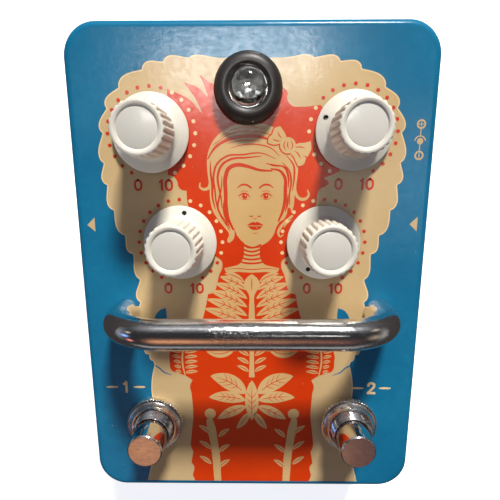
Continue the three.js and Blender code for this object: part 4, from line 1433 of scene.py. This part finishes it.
# lips: distance from the middle of the face, then height
UPPER_LIP = [
    (-2.45, 15.95, 1), (-1.2, 16.75), (-0.5, 16.98), (0, 16.78), (0.5, 16.98), (1.2, 16.75),
    (2.45, 15.95, 1), (1.4, 16.0), (0, 15.93), (-1.4, 16.0),
]
LOWER_LIP = [
    (-2.1, 15.8, 1), (-1.1, 15.78), (0, 15.72), (1.1, 15.78), (2.1, 15.8, 1), (1.2, 14.95),
    (0, 14.68), (-1.2, 14.95),
]


def from_middle(points):
    return [(MIDDLE + q[0], *q[1:]) for q in points]


figure.blot(HAIR)
figure.strokes(CURLS)
ink.strokes(HAIR_LINES)
for i, points in enumerate(STRANDS):
    ink.line(points, 0.66 if i % 2 == 0 else 0.54, taper=(0.25, 0.3))

eye_x = {side: MIDDLE + side * EYE_WIDTH * 1.02 for side in (-1, 1)}
for side, x in eye_x.items():
    ink.strokes([(width, start, end, [(x + side * dx, EYE_Y + dy) for dx, dy in points])
                 for width, start, end, points in EYE_LINES])
    ink.dot(x, EYE_Y + 0.02, 0.74, 22)
    ink.dot(MIDDLE + side * 0.98, 18.55, 0.36, 14, ry=0.20)
for side in (-1, 1):
    nostril = on_side([(1.75, 18.9), (1.55, 18.5), (1.25, 18.4)], side)
    ink.line(from_middle(nostril), 0.16, taper=(0.4, 0.4))
ink.line(from_middle([(-0.55, 18.05), (0, 17.9), (0.55, 18.05)]), 0.16, taper=(0.4, 0.4))
ink.blot(from_middle(UPPER_LIP))
ink.blot(from_middle(LOWER_LIP))
ink.line(from_middle([(-0.8, 13.9), (0, 13.72), (0.8, 13.9)]), 0.16, taper=(0.3, 0.3))
shine = Ink("print_shine", CREAM_LIGHT, 0.052)
for x in eye_x.values():
    shine.dot(x + 0.22, EYE_Y + 0.26, 0.17, 12)
shine.dot(MIDDLE + 0.5, 15.32, 0.13, 10, ry=0.09)
shine.done()

BOW = [                                          # two loops and a tail
    [(8.4, 38.6), (6.4, 37.9), (4.5, 38.3, 1), (4.6, 39.6), (5.6, 40.6, 1), (6.1, 42.0),
     (7.7, 42.7, 1), (8.8, 41.2), (9.4, 39.6)],
    [(11.2, 37.2), (12.6, 38.2), (14.6, 38.4), (16.1, 38.8, 1), (16.3, 36.8), (15.4, 34.7, 1),
     (13.4, 35.2), (11.4, 36.0)],
    [(10.4, 36.4), (11.6, 34.6), (12.8, 32.2, 1), (14.2, 32.6), (15.0, 34.4, 1), (13.2, 35.6),
     (11.6, 36.8)],
]
BOW_FOLDS = [
    [(8.0, 38.8), (6.8, 38.9), (5.8, 39.4)], [(8.2, 39.6), (7.4, 40.5), (7.1, 41.5)],
    [(11.9, 37.2), (13.2, 37.3), (14.6, 37.0)], [(11.8, 36.3), (12.8, 35.4), (13.4, 34.2)],
    [(9.2, 39.0), (8.8, 37.8), (9.3, 36.4)], [(10.8, 38.9), (11.2, 37.6), (10.7, 36.5)],
    [(9.9, 38.8), (9.8, 37.8), (10.1, 36.8)],
]
KNOT_AT = (9.9, 37.7)
bow_edge = Ink("print_bow_edge", LINE_RED, 0.051)
bow = Ink("print_bow", FIGURE, 0.059)
bow_fold = Ink("print_bow_fold", LINE_RED, 0.070)
for outline in BOW:
    bow_edge.line(outline + [outline[0]], 0.7, steps=6)
    bow.blot(outline, steps=6)
bow_edge.dot(*KNOT_AT, 2.5, 28)
bow.fill(circle(*KNOT_AT, 2.15, 28), raise_by=0.006)
for points in BOW_FOLDS:
    bow_fold.line(points, 0.30, taper=(0.3, 0.3))
for layer in (bow_edge, bow, bow_fold):
    layer.done()

# neck with a beaded collar
NECK = [
    (-2.3, 12.6, 1), (-2.2, 9.6), (-2.4, 7.0), (-3.4, 5.0), (-6.2, 4.0), (-8.0, 3.6, 1),
    (-7.6, 2.6), (-4.0, 2.5), (0, 2.3), (4.0, 2.5), (7.6, 2.6), (8.0, 3.6, 1), (6.2, 4.0),
    (3.4, 5.0), (2.4, 7.0), (2.4, 9.6), (2.6, 11.6, 1),
]
figure.blot(NECK)
for i in range(5):
    y = 9.7 - 1.15 * i
    w = 2.5 + 0.12 * i * i
    ink.line([(-w, y + 0.75), (-w * 0.5, y + 0.1), (0, y - 0.1), (w * 0.5, y + 0.1),
              (w, y + 0.75)], 0.55, taper=(0.8, 0.8))
ink.line([(x, y - 0.35) for x, y in JAW], 0.30, taper=(0.3, 0.3))
ink.line([(-7.6, 3.3), (-4.0, 3.5), (0, 3.2), (4.0, 3.5), (7.6, 3.3)], 0.26, taper=(0.4, 0.4))


# ----------------------------------------------------------------- plant ornament

def leaf(base, tip, width, bend=0.0, veins=0, centre=0.46):
    """Pointed leaf; bend bows its middle line to the left, centre places its widest part."""
    steps, blunt = 14, 0.75
    base = np.array(base, float)
    span = np.array(tip, float) - base
    length = np.linalg.norm(span)
    along = span / length
    across = np.array([-along[1], along[0]])
    middle, left, right = [], [], []
    for k in range(steps + 1):
        q = k / steps
        point = base + span * q + across * bend * 4 * q * (1 - q)
        normal = across - along * (bend * 4 * (1 - 2 * q) / length)
        normal = normal / np.linalg.norm(normal)
        w = 0.0
        if 0 < q < 1:
            w = width / 2 * math.sin(math.pi * q ** (math.log(0.5) / math.log(centre))) ** blunt
        middle.append(point)
        left.append(tuple(point + normal * w))
        right.append(tuple(point - normal * w))
    figure.fill(left[:-1] + [tuple(middle[-1])] + right[1:-1][::-1])
    ink.line([tuple(middle[k]) for k in range(2, steps - 1, 2)], 0.24, taper=(0.9, 0.3), steps=3)
    for k in range(1, veins + 1):
        q = 0.16 + 0.62 * k / (veins + 1)
        root = middle[int(q * steps)]
        w = width / 2 * math.sin(math.pi * q) ** blunt
        for side in (1, -1):
            ink.line([tuple(root), tuple(root + across * side * w * 0.35 + along * w * 0.30),
                      tuple(root + across * side * w * 0.72 + along * w * 0.85)],
                     0.20, taper=(0.8, 0.3), steps=3)


BUD = [
    (0, 1.9, 1), (1.6, 0.6), (2.3, -1.0), (1.6, -2.9), (0.85, -4.4), (0.8, -8.0),
    (1.0, -12.2, 1), (-1.0, -12.2, 1), (-0.8, -8.0), (-0.85, -4.4), (-1.6, -2.9), (-2.3, -1.0),
    (-1.6, 0.6),
]
UPPER_LEAVES = [                                 # base x, base y, tip x, tip y, width, veins
    (2.2, -0.6, 7.9, 2.0, 1.7, 0), (1.3, -3.0, 9.4, 1.1, 2.3, 2), (1.3, -5.6, 10.8, -0.9, 2.6, 3),
    (1.3, -8.2, 12.2, -3.2, 2.8, 3), (1.3, -10.9, 13.4, -5.7, 2.9, 3),
    (1.3, -13.6, 14.2, -8.6, 2.9, 3),
]
STALK = [(-0.7, -20.5, 1), (-0.7, -26), (-0.9, -30.6, 1), (0.9, -30.6, 1), (0.7, -26),
         (0.7, -20.5, 1)]
PALMETTE = [                                     # base x, y, tip x, y, width, bend, veins
    (1.9, -36.2, 12.8, -30.2, 5.2, 1.1, 3), (2.0, -38.4, 13.4, -37.4, 3.9, 0.7, 3),
    (1.8, -40.4, 10.8, -44.8, 3.3, 0.3, 2), (0.9, -42.6, 4.8, -48.2, 2.3, -0.2, 0),
]
STEM = [
    (12.6, -44.4, 1), (13.9, -44.6), (14.3, -47.4), (13.5, -52.0), (12.8, -58.0),
    (12.3, -67.15, 1), (10.0, -67.15, 1), (10.3, -58.0), (11.0, -52.0), (11.6, -47.6),
]
figure.blot(BUD)
ink.line([(0, 0.9), (0, -1.0), (0, -3.0)], 0.26, taper=(0.3, 0.5))
for side in (1, -1):
    for x, y, tip_x, tip_y, width, veins in UPPER_LEAVES:
        leaf((side * x, y), (side * tip_x, tip_y), width, bend=side * 0.55, veins=veins, centre=0.5)
    leaf((side * 5.0, -20.8), (side * 14.2, -21.6), 2.6, bend=-side * 1.7)

# below the bar: stalk with short leaves, a broad palmette and two tall stems
figure.blot(STALK)
for side in (1, -1):
    for y in (-22.6, -25.2, -27.8):
        leaf((side * 0.95, y - 0.9), (side * 4.5, y + 1.0), 1.35, bend=side * 0.25)
    for x, y, tip_x, tip_y, width, bend, veins in PALMETTE:
        leaf((side * x, y), (side * tip_x, tip_y), width, bend=side * bend, veins=veins)
    figure.blot(on_side(STEM, side))
    figure.dot(side * 13.1, -43.0, 1.75, 26)
    for y in (-50.0, -55.5, -61.0):
        leaf((side * 13.2, y), (side * 16.9, y + 2.9), 1.5, bend=side * 0.3)
        leaf((side * 10.6, y - 1.2), (side * 7.1, y + 1.7), 1.5, bend=-side * 0.3)
leaf((0, -45.2), (0, -31.6), 4.3, veins=3, centre=0.5)

# fern sprigs at the sides
for side in (1, -1):
    figure.line(on_side([(21.0, -21.2), (21.3, -25.6), (20.6, -30.2)], side), 0.55,
                taper=(0.9, 0.5))
    for i in range(5):
        y = -22.6 - 1.65 * i
        leaf((side * 20.5, y), (side * 16.6, y + 0.5), 1.15, bend=-side * 0.2)
        leaf((side * 21.8, y), (side * (24.6 - 0.25 * i), y + 0.6), 1.1, bend=side * 0.2)
figure.done()
ink.done()


# -------------------------------------------------------- dotted scales and numbers

SCALE_R, DOT_R = 12.0, 0.53
dots_red = Ink("print_dots_red", DOT_RED, 0.034)
dots_cream = Ink("print_dots_cream", CREAM_LIGHT, 0.036)
for knob_x, knob_y in KNOB_AT.values():
    for i in range(21):
        a = math.radians(90 - (-150 + 15 * i))
        x, y = knob_x + SCALE_R * math.cos(a), knob_y + SCALE_R * math.sin(a)
        (dots_cream if in_red(x, y) else dots_red).dot(x, y, DOT_R, 16)
dots_red.done()
dots_cream.done()

GLYPHS = {                                       # width and strokes, for a height of 1
    "0": (0.74, [[(0.36, 1.0), (0.12, 0.86), (0.04, 0.5), (0.12, 0.14), (0.36, 0.0),
                  (0.60, 0.14), (0.68, 0.5), (0.60, 0.86), (0.36, 1.0)]]),
    "1": (0.42, [[(0.04, 0.80), (0.16, 0.88), (0.25, 1.0)],
                 [(0.25, 1.0), (0.25, 0.5), (0.25, 0.0)]]),
    "2": (0.70, [[(0.05, 0.76), (0.14, 0.95), (0.36, 1.0), (0.58, 0.88), (0.58, 0.64),
                  (0.36, 0.36), (0.05, 0.0)], [(0.05, 0.0), (0.34, 0.0), (0.66, 0.0)]]),
}
GLYPH_GAP = 0.20


def number(layer, text, cx, cy, height, pen):
    total = sum(GLYPHS[c][0] for c in text) + GLYPH_GAP * (len(text) - 1)
    x = cx - total * height * 0.5
    for c in text:
        width, strokes = GLYPHS[c]
        for points in strokes:
            layer.line([(x + px * height, cy - height / 2 + py * height) for px, py in points],
                       pen, steps=6)
        x += (width + GLYPH_GAP) * height


# dial ends, and the number of each foot switch between two dashes
names_red = Ink("print_names_red", DOT_RED, 0.034)
for x, y, half in ((-27.85, 27.2, 3.9), (28.1, 27.4, 3.9), (-20.3, -2.4, 4.2), (20.4, -2.4, 4.2)):
    number(names_red, "0", x - half, y, height=2.7, pen=0.62)
    number(names_red, "10", x + half, y, height=2.7, pen=0.62)
names_red.done()
names_cream = Ink("print_names_cream", CREAM_LIGHT, 0.020)
for text, x, y in (("1", -39.2, -34.0), ("2", 37.0, -34.1)):
    number(names_cream, text, x, y, height=3.3, pen=0.78)
    for side in (1, -1):
        names_cream.line([(x + side * 2.6, y), (x + side * 4.2, y), (x + side * 5.8, y)], 0.70,
                         taper=(0.6, 0.6))
names_cream.done()


# --------------------------------------------------------------- camera and lights

def set_camera():
    camera = bpy.data.cameras.new("view")
    ob = bpy.data.objects.new("view", camera)
    scene.collection.objects.link(ob)
    turn_x, turn_y, turn_z = -0.2542, 0.0126, -0.0015
    turn = (Matrix.Rotation(turn_z, 4, "Z") @ Matrix.Rotation(turn_y, 4, "Y")
            @ Matrix.Rotation(turn_x, 4, "X"))
    at = (0.001294, 0.02995, (FACE + 139.62) * MM)
    ob.matrix_world = Matrix.Translation(at) @ turn
    camera.lens = 35.05
    camera.sensor_width = 36.0
    camera.sensor_fit = "HORIZONTAL"
    camera.shift_y = 0.1024
    camera.clip_start = 0.005
    scene.camera = ob


def area_light(name, at, target, size, power, colour):
    light = bpy.data.lights.new(name, "AREA")
    light.shape = "RECTANGLE"
    light.size, light.size_y = size
    light.energy = power
    light.color = colour
    ob = bpy.data.objects.new(name, light)
    scene.collection.objects.link(ob)
    ob.location = at
    aim = Vector(target) - Vector(at)
    ob.rotation_euler = aim.to_track_quat("-Z", "Y").to_euler()
    return ob


set_camera()
# low window behind the far edge, a little to the right
area_light("window", at=(0.48, 2.636, 1.456), target=(0, -0.01, 0.042), size=(0.48, 0.28),
           power=168.0, colour=(1.0, 0.97, 0.93))
# overhead panels: only the gloss of paint, print, knobs and lamp picks them up
overhead = area_light("overhead", at=(-0.04, 0.27, 1.05), target=(0, 0.02, 0.042),
                      size=(0.32, 0.12), power=5.8, colour=(1.0, 0.99, 0.97))
side_panel = area_light("side_panel", at=(0.36, 0.03, 1.04), target=(0.04, 0.02, 0.042),
                        size=(0.3, 0.5), power=1.3, colour=(1.0, 0.93, 0.88))
# low fill, so that the near wall is not black; it grazes the top
front = area_light("front_fill", at=(-0.5, -1.55, 0.13), target=(0, 0, 0.02), size=(0.7, 0.2),
                   power=13.0, colour=(1.0, 0.99, 0.97))
front.visible_glossy = False
receivers = bpy.data.collections.new("panel_receivers")
for ob in scene.objects:
    if ob.type == "MESH" and (ob.name.startswith(("enclosure_shell", "print_", "lamp_"))
                              or ob.name.endswith("_knob_fine")):
        receivers.objects.link(ob)
for panel in (overhead, side_panel):
    panel.visible_diffuse = False
    panel.light_linking.receiver_collection = receivers


# -------------------------------------------------------------------------- world

ROOM = (0.03, 0.03, 0.033)                       # base glow in reflections
FILL = (0.165, 0.170, 0.235)                     # even light on matt surfaces
BACKDROP = (0.965, 0.965, 0.965, 1)              # what the camera sees
GLOWS = [                                        # towards, colour, spread in degrees, squash
    ((0.08, 0.86, 0.47), (0.80, 0.82, 0.84), 3.2, (0.27, 1, 1)),     # long dim pane
    ((0.26, 0.90, 0.44), (0.30, 0.30, 0.31), 14, (0.45, 1, 1)),      # far wall
    ((-0.10, 0.90, 0.44), (0.20, 0.21, 0.24), 16, (0.30, 1, 1)),
    ((0.15, 0.215, 0.965), (1.7, 1.7, 1.7), 2.4, (0.6, 1, 1)),       # small ceiling lamp
    ((-0.215, -0.516, 0.829), (0.74, 0.32, 0.15), 12, (1, 1, 1)),    # warm, front left
    ((0.24, -0.52, 0.82), (0.10, 0.035, 0.03), 16, (1, 1, 1)),       # dull red, front right
    ((-0.95, -0.14, 0.35), (0.55, 1.0, 2.4), 4.5, (1, 1, 1)),        # blue, left
    ((-0.80, -0.50, 0.36), (1.5, 0.40, 0.34), 4, (1, 1, 1)),         # pink, left
    ((-0.90, 0.22, 0.40), (0.9, 0.75, 0.62), 3.5, (1, 1, 1)),
    ((0.9, -0.2, 0.45), (0.42, 0.31, 0.22), 8, (1, 1, 1)),
    ((0.85, 0.45, 0.30), (0.9, 0.72, 0.60), 4, (1, 1, 1)),
    ((0.25, -1.0, 0.12), (0.34, 0.34, 0.35), 9, (0.30, 1, 1)),       # walls near the horizon
    ((-0.45, -1.0, 0.10), (0.22, 0.23, 0.25), 7, (0.5, 1, 1)),
    ((1.0, -0.15, 0.10), (0.34, 0.33, 0.32), 8, (1, 0.35, 1)),
    ((-1.0, 0.0, 0.10), (0.26, 0.28, 0.32), 8, (1, 0.35, 1)),
]


def set_world():
    """Dim room of soft glows for reflections, and an even cool fill for matt surfaces."""
    world = bpy.data.worlds.new("studio")
    scene.world = world
    world.use_nodes = True
    nodes = Nodes(world.node_tree)
    direction = nodes.add("TexCoord", {}, "Generated")
    total = None
    for towards, colour, spread, squash in GLOWS:
        offset = nodes.vector("SUBTRACT", direction, tuple(Vector(towards).normalized()))
        offset = nodes.vector("MULTIPLY", offset, squash)
        square = nodes.vector("DOT_PRODUCT", offset, offset, "Value")
        falloff = math.log(2) / (2 - 2 * math.cos(math.radians(spread)))
        bell = nodes.math("EXPONENT", nodes.math("MULTIPLY", square, -falloff))
        glow = nodes.scaled(colour, bell)
        total = glow if total is None else nodes.vector("ADD", total, glow)
    total = nodes.vector("ADD", total, ROOM)
    up = nodes.add("SeparateXYZ", {0: direction}, "Z")
    fill = nodes.scaled(FILL, nodes.math("ADD", nodes.math("MULTIPLY", up, 0.55), 0.55))
    ray = nodes.node("LightPath").outputs
    colour = nodes.mix(ray["Is Diffuse Ray"], total, fill)
    colour = nodes.mix(ray["Is Camera Ray"], colour, BACKDROP)
    background = nodes.tree.nodes["Background"]
    nodes.feed(background.inputs["Color"], colour)
    background.inputs["Strength"].default_value = 1.0


def build_floor():
    """Pale to the camera, dark to every other ray."""
    half = 3000
    mat = Mat("floor_paper")
    cloud = mat.noise(30, detail=3, rough=0.5)
    pale = mat.ramp(cloud, [(0.3, (0.93, 0.93, 0.93, 1)), (0.7, (0.95, 0.95, 0.95, 1))])
    seen = mat.add("LightPath", {}, "Is Camera Ray")
    mat.principled(color=mat.mix(seen, (0.045, 0.04, 0.04, 1), pale), rough=0.9, spec=0.1,
                   emit=(1, 1, 1, 1), emit_strength=mat.math("MULTIPLY", seen, 0.70))
    corners = [(-half, -half, 0), (half, -half, 0), (half, half, 0), (-half, half, 0)]
    new_object("floor", (corners, [(0, 1, 2, 3)]), mat.material)


set_world()
build_floor()
scene.view_settings.view_transform = "Standard"
